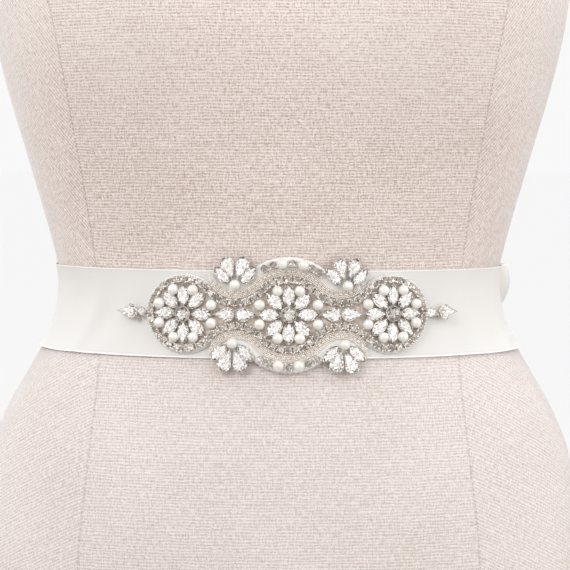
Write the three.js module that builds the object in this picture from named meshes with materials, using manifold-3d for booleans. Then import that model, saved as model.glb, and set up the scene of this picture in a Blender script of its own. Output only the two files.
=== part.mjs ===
// A bridal sash tied round a dress form: an ivory satin ribbon with a crystal and pearl trim at the
// front and a plain bow at the back. Millimetres, +Z up, the front towards -Y, and the origin on the
// surface that the form stands on, under the middle of the form.
import * as THREE from "three";
import { mergeVertices } from "three/addons/utils/BufferGeometryUtils.js";
import Module from "manifold-3d";

const wasm = await Module();
wasm.setup();

// Driving dimensions
const WAIST_HEIGHT = 275; // the form's waist above the surface
const RIBBON_WIDTH = 50;
const RIBBON_TOP = 12; // the ribbon's upper edge above the waist
const CLOTH = 1; // wall of a layer of ribbon
const GAP = 0.35; // clear space between neighbouring pieces
const BOARD = 12; // the wooden board under the form
const NECK_CAP = 12;
const RIBBON_MIDDLE = RIBBON_TOP - RIBBON_WIDTH / 2; // above the waist

// Layers over the form's surface at the front, each measured out from it
const BAND_IN = 0.6;
const BAND_OUT = BAND_IN + CLOTH;
const BACKING_IN = BAND_OUT + GAP;
const BACKING_OUT = BACKING_IN + 0.8; // the net that carries the trim
const TRIM_IN = BACKING_OUT + 0.5; // where the stones, pearls and beads begin
const TAIL_IN = BAND_OUT + 0.65;

// The trim, in its own flat frame: u runs to the right round the waist, v runs up
const TRIM_SHIFT = 5.5; // the trim's middle is this far right of the form's
const FLOWER_PITCH = 60;
const CHAIN_RADIUS = 20.2; // of the stone chain round each flower
const CHAIN_VALLEY = 6.7; // the chain's height between two flowers
const CHAIN_HALF = 1.9;
const CHAIN_HEIGHT = 2.4;
const BEADS_FROM = 2.2; // the beaded band, out from the chain's centreline
const BEADS_TO = 6.6;
const BEADS_HEIGHT = 1.5;
const BEADS_END = 45; // degrees of the outer flowers' circle where the beaded band ends
const BEADS_TIP = 0.5; // share of the band's width at its very end
const BEADS_TAPER = 0.17; // share gained at each step from the end
const ARC_RADIUS = 30; // the outer arcs of stones and pearls
const ARC_REACH = 35; // degrees to either side of upright
const ARC_HALF = 1.8;
const ARC_STONE = { radius: 2.1, height: 2.6, sides: 6 };
const PETAL = { length: 12.4, width: 5.8, height: 3, inner: 4.9 };
const CENTRE_STONE = { radius: 4.4, height: 4.2 };
const DROP = { length: 12.5, width: 7.8, height: 3.4 };
const FAN_LEAF = { length: 12.4, width: 5.4, height: 3 };
const PEARL_RADIUS = 3;
const PLATE = 0.7; // the metal plates that hold a group of stones
const FLOWER_PLATE = { radius: 11.5, sides: 16 };
const FAN_PLATE = { inner: 3.4, outer: 8.5, edge: 18 }; // the edge in degrees from the fan's sides
const LINK_DROP_LENGTH = 11.9;
const LINK_STRIP = { half: 8, halfWidth: 1.5 };
const END_STRIP = { from: 83.5, to: 98, halfWidth: 1 };
const END_OVAL = { length: 5.2, width: 3.8, height: 2.4 };
const END_ROUND = { radius: 1.4, height: 2.2 };
const ENDS = [
  // places of each end's oval, small round stone and drop, outwards from the middle
  { name: "left", side: -1, oval: 85.4, round: { u: 88.8, v: -3.1 }, drop: 94.6 },
  { name: "right", side: 1, oval: 85.6, round: { u: 89, v: -1.4 }, drop: 96.1 },
];

// The dress form's level sections: height above the waist, half width, reach to the front and to the
// back of the axis, and how full the corners are, where 2 is an ellipse.
const FORM_SECTIONS = [
  { height: -262.7, half: 172, front: 106, back: 124, power: 2.3 },
  { height: -225, half: 185, front: 115, back: 137, power: 2.3 },
  { height: -180, half: 189, front: 119, back: 142, power: 2.25 },
  { height: -140, half: 185, front: 118, back: 137, power: 2.2 },
  { height: -103, half: 175.5, front: 114, back: 127, power: 2.15 },
  { height: -74, half: 163.5, front: 109, back: 116, power: 2.1 },
  { height: -46, half: 147.5, front: 103.5, back: 105, power: 2.05 },
  { height: -28, half: 137.5, front: 100, back: 99, power: 2 },
  { height: -12, half: 132.5, front: 98.3, back: 95.5, power: 2 },
  { height: 4, half: 131.5, front: 98, back: 94, power: 2 },
  { height: 20, half: 134.5, front: 98.8, back: 94.5, power: 2 },
  { height: 44, half: 141, front: 102, back: 98, power: 2.05 },
  { height: 80, half: 151.5, front: 109, back: 105, power: 2.1 },
  { height: 116, half: 162, front: 117, back: 111, power: 2.15 },
  { height: 152, half: 170.5, front: 122, back: 116, power: 2.2 },
  { height: 190, half: 176, front: 122, back: 120, power: 2.25 },
  { height: 230, half: 180, front: 113, back: 123, power: 2.3 },
  { height: 275, half: 187, front: 97, back: 121, power: 2.3 },
  { height: 315, half: 191, front: 80, back: 111, power: 2.3 },
  { height: 345, half: 189, front: 66, back: 96, power: 2.3 },
  { height: 362, half: 176, front: 57, back: 84, power: 2.3 },
  { height: 376, half: 146, front: 51, back: 75, power: 2.2 },
  { height: 389, half: 108, front: 48, back: 68, power: 2.1 },
  { height: 402, half: 78, front: 46.5, back: 63, power: 2 },
  { height: 417, half: 62, front: 46, back: 60, power: 2 },
  { height: 436, half: 56, front: 46, back: 57, power: 2 },
  { height: 455, half: 54, front: 46, back: 55, power: 2 },
];
const BUST = { height: 168, rise: 55, apart: 82, spread: 54, depth: 15 };
const ARM_PLATE = { half: 177, softness: 3 }; // where the arms' flat ends stop the width
const FORM_LEVELS = [
  { from: -262.7, to: -64, count: 8 },
  { from: -46, to: 44, count: 8 },
  { from: 62, to: 330, count: 12 },
  { from: 345, to: 402, count: 7 },
  { from: 422, to: 455, count: 2 },
];
const FORM_SIDES = 44;
const NECK_CAP_RINGS = [
  { rise: GAP, scale: 1.03 },
  { rise: 0.3 * NECK_CAP, scale: 1.05 },
  { rise: 0.75 * NECK_CAP, scale: 1.03 },
  { rise: NECK_CAP, scale: 0.94 },
];
const BOARD_RINGS = [
  { rise: 0, scale: 0.96 },
  { rise: 2, scale: 0.98 },
  { rise: BOARD, scale: 0.98 },
];
const PEARL_SIDES = 8;
const PEARL_RINGS = 5;

// The bow at the back
const KNOT = {
  middle: 111, // behind the form's axis
  halfDepth: 8.6,
  halfHeight: 13.4,
  halfWidth: 13,
  wall: 1.2,
  flare: 0.06,
  sides: 16,
};
const LOOPS = [
  { name: "right", side: 1, length: 147, droop: 2 },
  { name: "left", side: -1, length: 134, droop: 9.5 },
];
const LOOP_OUTLINE = [
  // share of the loop's length, and offset from its middle plane
  { along: 0.015, offset: 3 },
  { along: 0.22, offset: 6 },
  { along: 0.5, offset: 12 },
  { along: 0.8, offset: 15.5 },
  { along: 0.95, offset: 11 },
  { along: 1, offset: 0 },
  { along: 0.95, offset: -9 },
  { along: 0.8, offset: -11.5 },
  { along: 0.5, offset: -9 },
  { along: 0.22, offset: -5 },
  { along: 0.015, offset: -3 },
];
const LOOP_ROOT_HALF = 10.8; // half the ribbon's gathered width in the knot
const LOOP_SPREAD = { from: 10, to: 0.5 }; // it widens from here to this share of its length
const TAIL_ROOT_HALF = 11;
const TAIL_SPREAD = 0.6; // share of a tail's length where it reaches its full width
const TAILS = [
  { name: "right", start: 14, end: 42, length: 206, slant: 12 },
  { name: "left", start: -14, end: -50, length: 196, slant: -12 },
];

const rad = THREE.MathUtils.degToRad;
const lerp = THREE.MathUtils.lerp;

// Cubic interpolation of a named column between the rows of a table sorted by its key.
function column(rows, key, name, at) {
  let i = 0;
  while (i < rows.length - 2 && at > rows[i + 1][key]) i++;
  const slope = (k) => {
    const low = rows[Math.max(k - 1, 0)];
    const high = rows[Math.min(k + 1, rows.length - 1)];
    return (high[name] - low[name]) / (high[key] - low[key]);
  };
  const span = rows[i + 1][key] - rows[i][key];
  const t = THREE.MathUtils.clamp((at - rows[i][key]) / span, 0, 1);
  return (
    rows[i][name] * (1 + 2 * t) * (1 - t) ** 2 +
    slope(i) * span * t * (1 - t) ** 2 +
    rows[i + 1][name] * t * t * (3 - 2 * t) +
    slope(i + 1) * span * t * t * (t - 1)
  );
}

// A point of the form's surface at a height above the waist. The angle turns from +X through +Y.
function formPoint(angle, height, grow = 1) {
  const at = (name) => column(FORM_SECTIONS, "height", name, height);
  const c = Math.cos(angle);
  const s = Math.sin(angle);
  const power = at("power");
  const full = (Math.abs(c) ** power + Math.abs(s) ** power) ** (-1 / power);
  const wide = at("half") * c * full;
  const past = (Math.abs(wide) - ARM_PLATE.half) / ARM_PLATE.softness;
  const trimmed = Math.abs(wide) - ARM_PLATE.softness * Math.log1p(Math.exp(past));
  const x = Math.sign(wide) * trimmed;
  const swell = (middle) => Math.exp(-(((x - middle) / BUST.spread) ** 2));
  const lift =
    BUST.depth *
    (swell(-BUST.apart) + swell(BUST.apart)) *
    Math.exp(-(((height - BUST.height) / BUST.rise) ** 2)) *
    Math.max(0, -s);
  const y = (s < 0 ? at("front") : at("back")) * s * full - lift;
  return new THREE.Vector3(x * grow, y * grow, WAIST_HEIGHT + height);
}

// The same point moved out along the surface's normal.
function offForm(angle, height, out) {
  const turn = 1e-3;
  const rise = 0.1;
  const around = formPoint(angle + turn, height).sub(formPoint(angle - turn, height));
  const up = formPoint(angle, height + rise).sub(formPoint(angle, height - rise));
  const normal = around.cross(up).normalize();
  return formPoint(angle, height).addScaledVector(normal, out);
}

// Angles against the distance round the waist from the middle of the front
const GIRTH = [{ distance: 0, angle: -Math.PI / 2 }];
const GIRTH_STEPS = 400;
for (let k = 1; k <= GIRTH_STEPS; k++) {
  const angle = -Math.PI / 2 + (k / GIRTH_STEPS) * (Math.PI / 2);
  const last = offForm(GIRTH[k - 1].angle, RIBBON_MIDDLE, TRIM_IN);
  const step = offForm(angle, RIBBON_MIDDLE, TRIM_IN).distanceTo(last);
  GIRTH.push({ distance: GIRTH[k - 1].distance + step, angle });
}
function angleAt(distance) {
  const far = Math.abs(distance);
  let k = 1;
  while (k < GIRTH.length - 1 && GIRTH[k].distance < far) k++;
  const t = (far - GIRTH[k - 1].distance) / (GIRTH[k].distance - GIRTH[k - 1].distance);
  const turned = lerp(GIRTH[k - 1].angle, GIRTH[k].angle, t) + Math.PI / 2;
  return -Math.PI / 2 + Math.sign(distance) * turned;
}

// A point of the trim: u and v in its flat frame, wrapped round the waist and moved out. The trim is
// stiff, so a line up it stays upright where the form widens: the wider section is met nearer its front.
const TRIM_LEVEL_HALF = column(FORM_SECTIONS, "height", "half", RIBBON_MIDDLE);
function wrap(u, v, out) {
  const height = RIBBON_MIDDLE + v;
  const wider = column(FORM_SECTIONS, "height", "half", height) / TRIM_LEVEL_HALF;
  const angle = -Math.acos(Math.cos(angleAt(u + TRIM_SHIFT)) / wider);
  return offForm(angle, height, out);
}

// The frame of a piece seated on the trim: x along u, y along v and z outwards.
function seat(u, v, out, turn = 0) {
  const along = wrap(u + 0.5, v, out).sub(wrap(u - 0.5, v, out)).normalize();
  const outward = wrap(u, v, out + 1).sub(wrap(u, v, out)).normalize();
  const up = outward.clone().cross(along).normalize();
  const place = new THREE.Matrix4().makeBasis(up.clone().cross(outward), up, outward);
  return place.setPosition(wrap(u, v, out)).multiply(new THREE.Matrix4().makeRotationZ(turn));
}

// A geometry from points and the triangles between them.
function geometryOf(points, triangles) {
  const geometry = new THREE.BufferGeometry().setFromPoints(points);
  geometry.setIndex(triangles.flat());
  geometry.computeVertexNormals();
  return geometry;
}

// Two triangles for each cell of a grid whose rows run one after another, turned to face outwards.
function cells(rows, columns, indexAt) {
  const made = [];
  for (let i = 0; i < rows; i++)
    for (let j = 0; j < columns; j++) {
      const [a, b, c, d] = [indexAt(i, j), indexAt(i, j + 1), indexAt(i + 1, j + 1), indexAt(i + 1, j)];
      made.push([a, b, c], [a, c, d]);
    }
  return made;
}

// A closed solid through rings of points, each anticlockwise from above, with flat ends.
function loft(rings) {
  const sides = rings[0].length;
  const middle = (ring) =>
    ring.reduce((sum, p) => sum.add(p), new THREE.Vector3()).divideScalar(sides);
  const points = [...rings.flat(), middle(rings[0]), middle(rings.at(-1))];
  const indexAt = (i, j) => i * sides + (j % sides);
  const ends = [];
  for (let j = 0; j < sides; j++) {
    ends.push([points.length - 2, indexAt(0, j + 1), indexAt(0, j)]);
    ends.push([points.length - 1, indexAt(rings.length - 1, j), indexAt(rings.length - 1, j + 1)]);
  }
  return geometryOf(points, [...cells(rings.length - 1, sides, indexAt), ...ends]);
}

// A wall over a grid: place(s, t, side) gives its point, with s and t from 0 to 1 and side 0 on the
// inner face and 1 on the outer. Facing the outer face with s to the right, t runs down. A ring joins
// its last row to its first.
function wall(rows, columns, place, ring = false) {
  const across = columns + 1;
  const count = ring ? rows : rows + 1;
  const points = [];
  for (const side of [1, 0])
    for (let i = 0; i < count; i++)
      for (let j = 0; j <= columns; j++) points.push(place(i / rows, j / columns, side));
  const outer = (i, j) => (i % count) * across + j;
  const inner = (i, j) => count * across + outer(i, j);
  const triangles = [
    ...cells(rows, columns, (i, j) => outer(i, j)),
    ...cells(rows, columns, (i, j) => inner(i, columns - j)),
    ...cells(rows, 1, (i, j) => (j ? outer(i, 0) : inner(i, 0))),
    ...cells(rows, 1, (i, j) => (j ? inner(i, columns) : outer(i, columns))),
  ];
  if (!ring) {
    triangles.push(...cells(1, columns, (i, j) => (i ? outer(0, j) : inner(0, j))));
    triangles.push(...cells(1, columns, (i, j) => (i ? inner(rows, j) : outer(rows, j))));
  }
  return geometryOf(points, triangles);
}

// Several overlapping geometries as one solid.
function join(geometries) {
  const solids = geometries.map((geometry) => {
    const bare = geometry.clone();
    bare.deleteAttribute("normal");
    if (bare.getAttribute("uv")) bare.deleteAttribute("uv");
    const merged = mergeVertices(bare, 1e-3);
    const vertProperties = new Float32Array(merged.attributes.position.array);
    const triVerts = new Uint32Array(merged.index.array);
    return new wasm.Manifold(new wasm.Mesh({ numProp: 3, vertProperties, triVerts }));
  });
  const mesh = solids.reduce((sum, solid) => sum.add(solid)).getMesh();
  const geometry = new THREE.BufferGeometry();
  geometry.setAttribute("position", new THREE.BufferAttribute(mesh.vertProperties, 3));
  geometry.setIndex(new THREE.BufferAttribute(mesh.triVerts, 1));
  geometry.computeVertexNormals();
  return geometry;
}

// Outlines of cut stones round their middles, anticlockwise, with the length along x
function roundOutline(radius, count = 8) {
  return Array.from({ length: count }, (_, k) => {
    const a = (k / count) * 2 * Math.PI;
    return new THREE.Vector2(radius * Math.cos(a), radius * Math.sin(a));
  });
}
function leafOutline(length, width, count = 4) {
  const side = (sign) =>
    Array.from({ length: count }, (_, k) => {
      const t = 1 - (2 * k) / count;
      return new THREE.Vector2((sign * t * length) / 2, (sign * (1 - t * t) * width) / 2);
    });
  return [...side(1), ...side(-1)];
}
function dropOutline(length, width, count = 7) {
  const radius = width / 2;
  const tangent = Math.acos(radius / (length - radius));
  const round = Array.from({ length: count }, (_, k) => {
    const a = tangent + (k / (count - 1)) * 2 * (Math.PI - tangent);
    return new THREE.Vector2(
      radius - length / 2 + radius * Math.cos(a),
      radius * Math.sin(a),
    );
  });
  return [new THREE.Vector2(length / 2, 0), ...round];
}

// A cut stone in its cup, from the cup's narrow base through the girdle to the flat table.
const STONE_STEPS = [
  { rise: 0, scale: 0.82 },
  { rise: 0.45, scale: 1 },
  { rise: 1, scale: 0.5 },
];
function stone(outline, height, place) {
  const rings = STONE_STEPS.map(({ rise, scale }) =>
    outline.map((p) =>
      new THREE.Vector3(p.x * scale, p.y * scale, rise * height).applyMatrix4(place),
    ),
  );
  return loft(rings);
}

// Materials
const finish = (color, roughness, metalness = 0) =>
  new THREE.MeshStandardMaterial({ color, roughness, metalness });
const LINEN = finish(0xdccfc4, 0.9);
const WOOD = finish(0xc9a47a, 0.55);
const SATIN = finish(0xf1eee6, 0.35);
const NET = finish(0xe9e2d8, 0.8);
const CRYSTAL = finish(0xf4f4f6, 0.08, 0.3);
const PEARL = finish(0xf3ece2, 0.25);
const BEADS = finish(0xd9cfc0, 0.3, 0.4);

const sash = new THREE.Group();
function add(name, geometry, material) {
  const mesh = new THREE.Mesh(geometry, material);
  mesh.name = name;
  sash.add(mesh);
  return mesh;
}

// Dress form: linen-covered body, wooden neck cap and wooden board
const ringAt = (height, grow = 1) =>
  Array.from({ length: FORM_SIDES }, (_, k) =>
    formPoint((k / FORM_SIDES) * 2 * Math.PI, height, grow),
  );
const levels = FORM_LEVELS.flatMap(({ from, to, count }) =>
  Array.from({ length: count }, (_, k) => lerp(from, to, k / (count - 1))),
);
add("form_body", loft(levels.map((height) => ringAt(height))), LINEN);

const lifted = (ring, z) => ring.map((p) => p.clone().setZ(z));
const neckTop = FORM_SECTIONS.at(-1).height;
add(
  "form_neck_cap",
  loft(
    NECK_CAP_RINGS.map(({ rise, scale }) =>
      lifted(ringAt(neckTop, scale), WAIST_HEIGHT + neckTop + rise),
    ),
  ),
  WOOD,
);
const formBase = FORM_SECTIONS[0].height;
add(
  "form_board",
  loft(BOARD_RINGS.map(({ rise, scale }) => lifted(ringAt(formBase, scale), rise))),
  WOOD,
);

// Ribbon round the waist
add(
  "sash_band",
  wall(
    FORM_SIDES,
    4,
    (s, t, side) =>
      offForm(
        s * 2 * Math.PI,
        RIBBON_TOP - RIBBON_WIDTH * t,
        side ? BAND_OUT : BAND_IN,
      ),
    true,
  ),
  SATIN,
);

// Bow: a ring of ribbon round the roots of two loops
add(
  "sash_knot",
  wall(
    KNOT.sides,
    2,
    (s, t, side) => {
      const a = s * 2 * Math.PI;
      const full = (Math.cos(a) ** 4 + Math.sin(a) ** 4) ** (-1 / 4);
      const grow = side * KNOT.wall;
      const flare = 1 + KNOT.flare * (2 * t - 1) ** 2;
      return new THREE.Vector3(
        (2 * t - 1) * KNOT.halfWidth,
        KNOT.middle + (KNOT.halfDepth * flare + grow) * Math.cos(a) * full,
        WAIST_HEIGHT + RIBBON_MIDDLE - (KNOT.halfHeight * flare + grow) * Math.sin(a) * full,
      );
    },
    true,
  ),
  SATIN,
);

const LOOP_STEPS = 26;
for (const { name, side: way, length, droop } of LOOPS) {
  const outwards = new THREE.Vector3(way * Math.cos(rad(droop)), 0, -Math.sin(rad(droop)));
  const upwards = new THREE.Vector3(way * Math.sin(rad(droop)), 0, Math.cos(rad(droop)));
  const root = new THREE.Vector3(0, KNOT.middle, WAIST_HEIGHT + RIBBON_MIDDLE);
  const path = new THREE.CatmullRomCurve3(
    LOOP_OUTLINE.map(({ along, offset }) => new THREE.Vector3(along * length, offset, 0)),
  );
  const spots = path.getSpacedPoints(LOOP_STEPS);
  add(
    `sash_loop_${name}`,
    wall(LOOP_STEPS, 2, (s, t, side) => {
      const i = Math.round(s * LOOP_STEPS);
      const spot = spots[i];
      const ahead = spots[Math.min(i + 1, LOOP_STEPS)];
      const behind = spots[Math.max(i - 1, 0)];
      const run = ahead.clone().sub(behind).normalize();
      const { from, to } = LOOP_SPREAD;
      const gathered = 1 - THREE.MathUtils.smoothstep(spot.x, from, to * length);
      const half = lerp(RIBBON_WIDTH / 2, LOOP_ROOT_HALF, gathered);
      const level = spot.x < KNOT.halfWidth * 2 ? 1 - spot.x / (KNOT.halfWidth * 2) : 0;
      const up = upwards.clone().lerp(new THREE.Vector3(0, 0, 1), level).normalize();
      // the loop runs out along its back layer, round its end and home along its front layer
      const across = (way > 0 ? 2 * t - 1 : 1 - 2 * t) * half;
      const out = (side - 0.5) * CLOTH;
      return root
        .clone()
        .addScaledVector(outwards, spot.x - run.y * out)
        .add(new THREE.Vector3(0, spot.y + run.x * out, 0))
        .addScaledVector(up, across);
    }),
    SATIN,
  );
}

// Two tails, laid down the form's back
const TAIL_STEPS = 12;
for (const { name, start, end, length, slant } of TAILS)
  add(
    `sash_tail_${name}`,
    wall(TAIL_STEPS, 4, (s, t, side) => {
      const spread = THREE.MathUtils.smoothstep(s, 0, TAIL_SPREAD);
      const half = lerp(TAIL_ROOT_HALF, RIBBON_WIDTH / 2, spread);
      const x = lerp(start, end, s) + (2 * t - 1) * half;
      const height = RIBBON_MIDDLE - s * (length + slant * (2 * t - 1));
      const wide = column(FORM_SECTIONS, "height", "half", height);
      return offForm(Math.acos(x / wide), height, TAIL_IN + side * CLOTH);
    }),
    SATIN,
  );

// Net backing of the trim: its half height at u, under the flowers, the fans and the middle arc
const circleHalf = (u, middle, radius) =>
  Math.sqrt(Math.max(0, radius ** 2 - (Math.abs(u) - middle) ** 2));
const BACKING_HALF = 100;
const BACKING_END_HALF = 2.2;
const BACKING_ROUND_FLOWER = 2.6; // its edge outside the stone chain's centreline
const BACKING_ROUND_ARC = 3;
const BACKING_FAN = { middle: 31, reach: 10.5, height: 26.5, shoulder: 7 };
function backingHalf(u) {
  const fan = circleHalf(u, BACKING_FAN.middle, BACKING_FAN.reach) / BACKING_FAN.shoulder;
  return Math.max(
    BACKING_END_HALF,
    circleHalf(u, FLOWER_PITCH, CHAIN_RADIUS + BACKING_ROUND_FLOWER),
    circleHalf(u, 0, ARC_RADIUS + BACKING_ROUND_ARC),
    BACKING_FAN.height * Math.min(1, fan),
  );
}
add(
  "trim_backing",
  wall(64, 3, (s, t, side) => {
    const u = lerp(-BACKING_HALF, BACKING_HALF, s);
    return wrap(u, (1 - 2 * t) * backingHalf(u), side ? BACKING_OUT : BACKING_IN);
  }),
  NET,
);

// The stone chain's centreline: circles round the flowers, joined by equal arcs between them
const RISE = CHAIN_RADIUS - CHAIN_VALLEY;
const VALLEY_V = ((FLOWER_PITCH / 2) ** 2 - RISE ** 2) / (2 * RISE);
const VALLEY_RADIUS = VALLEY_V - CHAIN_VALLEY;
const TANGENT = Math.atan2(VALLEY_V, FLOWER_PITCH / 2);
const spotOn = (u, v, radius, a) =>
  new THREE.Vector2(u + radius * Math.cos(a), v + radius * Math.sin(a));

// Stretches of the wave above the middle line, each run from right to left
const WAVE = [
  { u: FLOWER_PITCH, v: 0, radius: CHAIN_RADIUS, from: 0, to: Math.PI - TANGENT },
  {
    u: FLOWER_PITCH / 2,
    v: VALLEY_V,
    radius: -VALLEY_RADIUS,
    from: Math.PI - TANGENT,
    to: TANGENT,
  },
  { u: 0, v: 0, radius: CHAIN_RADIUS, from: TANGENT, to: Math.PI - TANGENT },
  {
    u: -FLOWER_PITCH / 2,
    v: VALLEY_V,
    radius: -VALLEY_RADIUS,
    from: Math.PI - TANGENT,
    to: TANGENT,
  },
  { u: -FLOWER_PITCH, v: 0, radius: CHAIN_RADIUS, from: TANGENT, to: Math.PI },
];
// Points of the wave moved out by a distance from its centreline, every few millimetres.
function wavePoints(out, step, first = 0, last = Math.PI) {
  return WAVE.flatMap(({ u, v, radius, from, to }, k) => {
    const start = k === 0 ? Math.max(from, first) : from;
    const stop = k === WAVE.length - 1 ? Math.min(to, last) : to;
    const count = Math.max(2, Math.round((Math.abs(radius) * Math.abs(stop - start)) / step));
    return Array.from({ length: count }, (_, j) =>
      spotOn(u, v, radius + out, lerp(start, stop, j / count)),
    );
  });
}

const CHAIN_STEP = 4.6;
const CHAIN_EDGES = [-CHAIN_HALF, CHAIN_HALF].map((out) => {
  const above = wavePoints(out, CHAIN_STEP);
  return [...above, ...above.map((p) => new THREE.Vector2(-p.x, -p.y))];
});
const CHAIN_COUNT = CHAIN_EDGES[0].length;
add(
  "trim_stone_chain",
  wall(
    CHAIN_COUNT,
    1,
    (s, t, side) => {
      const p = CHAIN_EDGES[Math.round(t)][Math.round(s * CHAIN_COUNT) % CHAIN_COUNT];
      return wrap(p.x, p.y, TRIM_IN + side * CHAIN_HEIGHT);
    },
    true,
  ),
  CRYSTAL,
);

// Beaded bands above and below, which narrow towards their ends
for (const [name, flip] of [
  ["upper", 1],
  ["lower", -1],
]) {
  const start = Math.PI - rad(BEADS_END);
  const edge = (out) => wavePoints(out, CHAIN_STEP, start, rad(BEADS_END));
  const inner = edge(BEADS_FROM);
  const outer = edge(BEADS_TO);
  const count = inner.length - 1;
  add(
    `trim_beads_${name}`,
    wall(count, 1, (s, t, side) => {
      const i = Math.round(s * count);
      const taper = Math.min(1, BEADS_TIP + BEADS_TAPER * Math.min(i, count - i));
      const near = inner[i];
      const p = near.clone().lerp(outer[i], (flip > 0 ? t : 1 - t) * taper);
      return wrap(p.x, flip * p.y, TRIM_IN + side * BEADS_HEIGHT);
    }),
    BEADS,
  );
}

// Outer arcs above and below the middle flower: stones in cups on a strip, with two pearls on each
const ARC_STONES = [-31.5, -21.5, 0, 21.5, 31.5];
const ARC_PEARLS = [-11.3, 11.3];
const ARCS = [
  // degrees of the arc's middle, from +u towards +v
  { name: "upper", upright: 85.5 },
  { name: "lower", upright: -90 },
];
for (const { name, upright } of ARCS) {
  const strip = wall(12, 1, (s, t, side) => {
    const a = rad(upright + lerp(-ARC_REACH, ARC_REACH, s));
    const p = spotOn(0, 0, ARC_RADIUS + (2 * t - 1) * ARC_HALF, a);
    return wrap(p.x, p.y, TRIM_IN + side * PLATE);
  });
  const stones = ARC_STONES.map((turn) => {
    const p = spotOn(0, 0, ARC_RADIUS, rad(upright + turn));
    const outline = roundOutline(ARC_STONE.radius, ARC_STONE.sides);
    return stone(outline, ARC_STONE.height, seat(p.x, p.y, TRIM_IN + PLATE / 2));
  });
  add(`trim_arc_${name}`, join([strip, ...stones]), CRYSTAL);
  ARC_PEARLS.forEach((turn, k) => {
    const p = spotOn(0, 0, ARC_RADIUS, rad(upright + turn));
    const pearl = add(
      `trim_arc_pearl_${name}_${k + 1}`,
      new THREE.SphereGeometry(PEARL_RADIUS, PEARL_SIDES, PEARL_RINGS),
      PEARL,
    );
    pearl.position.copy(wrap(p.x, p.y, TRIM_IN + PLATE + GAP + PEARL_RADIUS));
  });
}

// Flowers: eight leaf-shaped stones and a round one on a plate, with eight pearls between the leaves
// Each flower's pearls as a radius and an angle above the middle line: beside it to the right and to
// the left, and upright to the right and to the left. Each has its like below the middle line.
const FLOWERS = [
  { name: "left", u: -FLOWER_PITCH, pearls: [[17.5, 17.6], [15.1, 22.5], [15.1, 66], [15.1, 69]] },
  { name: "middle", u: 0, pearls: [[17.2, 19.4], [17.2, 19.4], [15.1, 65.9], [15.1, 65.9]] },
  { name: "right", u: FLOWER_PITCH, pearls: [[15.1, 22], [16.3, 21.2], [15.1, 67], [15.1, 67]] },
];
function pearlSpots([right, left, uprightRight, uprightLeft]) {
  return [
    [right, left],
    [uprightRight, uprightLeft],
  ].flatMap(([[east, eastAngle], [west, westAngle]]) => [
    spotOn(0, 0, east, rad(eastAngle)),
    spotOn(0, 0, west, rad(180 - westAngle)),
    spotOn(0, 0, west, rad(180 + westAngle)),
    spotOn(0, 0, east, rad(-eastAngle)),
  ]);
}
for (const flower of FLOWERS) {
  const ring = (out) =>
    roundOutline(FLOWER_PLATE.radius, FLOWER_PLATE.sides).map((p) =>
      wrap(flower.u + p.x, p.y, out),
    );
  const plate = loft([ring(TRIM_IN), ring(TRIM_IN + PLATE)]);
  const petals = Array.from({ length: 8 }, (_, k) => {
    const turn = (k * Math.PI) / 4;
    const p = spotOn(flower.u, 0, PETAL.inner + PETAL.length / 2, turn);
    const place = seat(p.x, p.y, TRIM_IN + PLATE / 2, turn);
    return stone(leafOutline(PETAL.length, PETAL.width), PETAL.height, place);
  });
  const place = seat(flower.u, 0, TRIM_IN + PLATE / 2);
  const centre = stone(roundOutline(CENTRE_STONE.radius), CENTRE_STONE.height, place);
  add(`trim_flower_${flower.name}`, join([plate, ...petals, centre]), CRYSTAL);
  pearlSpots(flower.pearls).forEach((spot, k) => {
    const pearl = add(
      `trim_pearl_${flower.name}_${k + 1}`,
      new THREE.SphereGeometry(PEARL_RADIUS, PEARL_SIDES, PEARL_RINGS),
      PEARL,
    );
    pearl.position.copy(wrap(flower.u + spot.x, spot.y, TRIM_IN + PEARL_RADIUS));
  });
}

// Links: two drop-shaped stones, round end to round end, between neighbouring flowers
for (const [name, middle] of [
  ["left", -FLOWER_PITCH / 2],
  ["right", FLOWER_PITCH / 2],
]) {
  const drops = [0, Math.PI].map((turn) => {
    const away = (LINK_DROP_LENGTH / 2 + 0.15) * Math.cos(turn);
    const place = seat(middle + away, 0, TRIM_IN + PLATE / 2, turn);
    return stone(dropOutline(LINK_DROP_LENGTH, DROP.width), DROP.height, place);
  });
  const strip = wall(2, 1, (s, t, side) =>
    wrap(
      middle + (2 * s - 1) * LINK_STRIP.half,
      (1 - 2 * t) * LINK_STRIP.halfWidth,
      TRIM_IN + side * PLATE,
    ),
  );
  add(`trim_link_${name}`, join([strip, ...drops]), CRYSTAL);
}

// Ends: an oval and a small round stone lead to a drop that points away
for (const { name, side: way, oval, round, drop } of ENDS) {
  const turn = way > 0 ? 0 : Math.PI;
  const at = (u, v = 0) => seat(way * u, v, TRIM_IN + PLATE / 2, turn);
  const strip = wall(3, 1, (s, t, side) =>
    wrap(
      way * lerp(END_STRIP.from, END_STRIP.to, way > 0 ? s : 1 - s),
      (1 - 2 * t) * END_STRIP.halfWidth,
      TRIM_IN + side * PLATE,
    ),
  );
  add(
    `trim_end_${name}`,
    join([
      strip,
      stone(leafOutline(END_OVAL.length, END_OVAL.width), END_OVAL.height, at(oval)),
      stone(roundOutline(END_ROUND.radius), END_ROUND.height, at(round.u, round.v)),
      stone(dropOutline(DROP.length, DROP.width), DROP.height, at(drop)),
    ]),
    CRYSTAL,
  );
}

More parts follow.
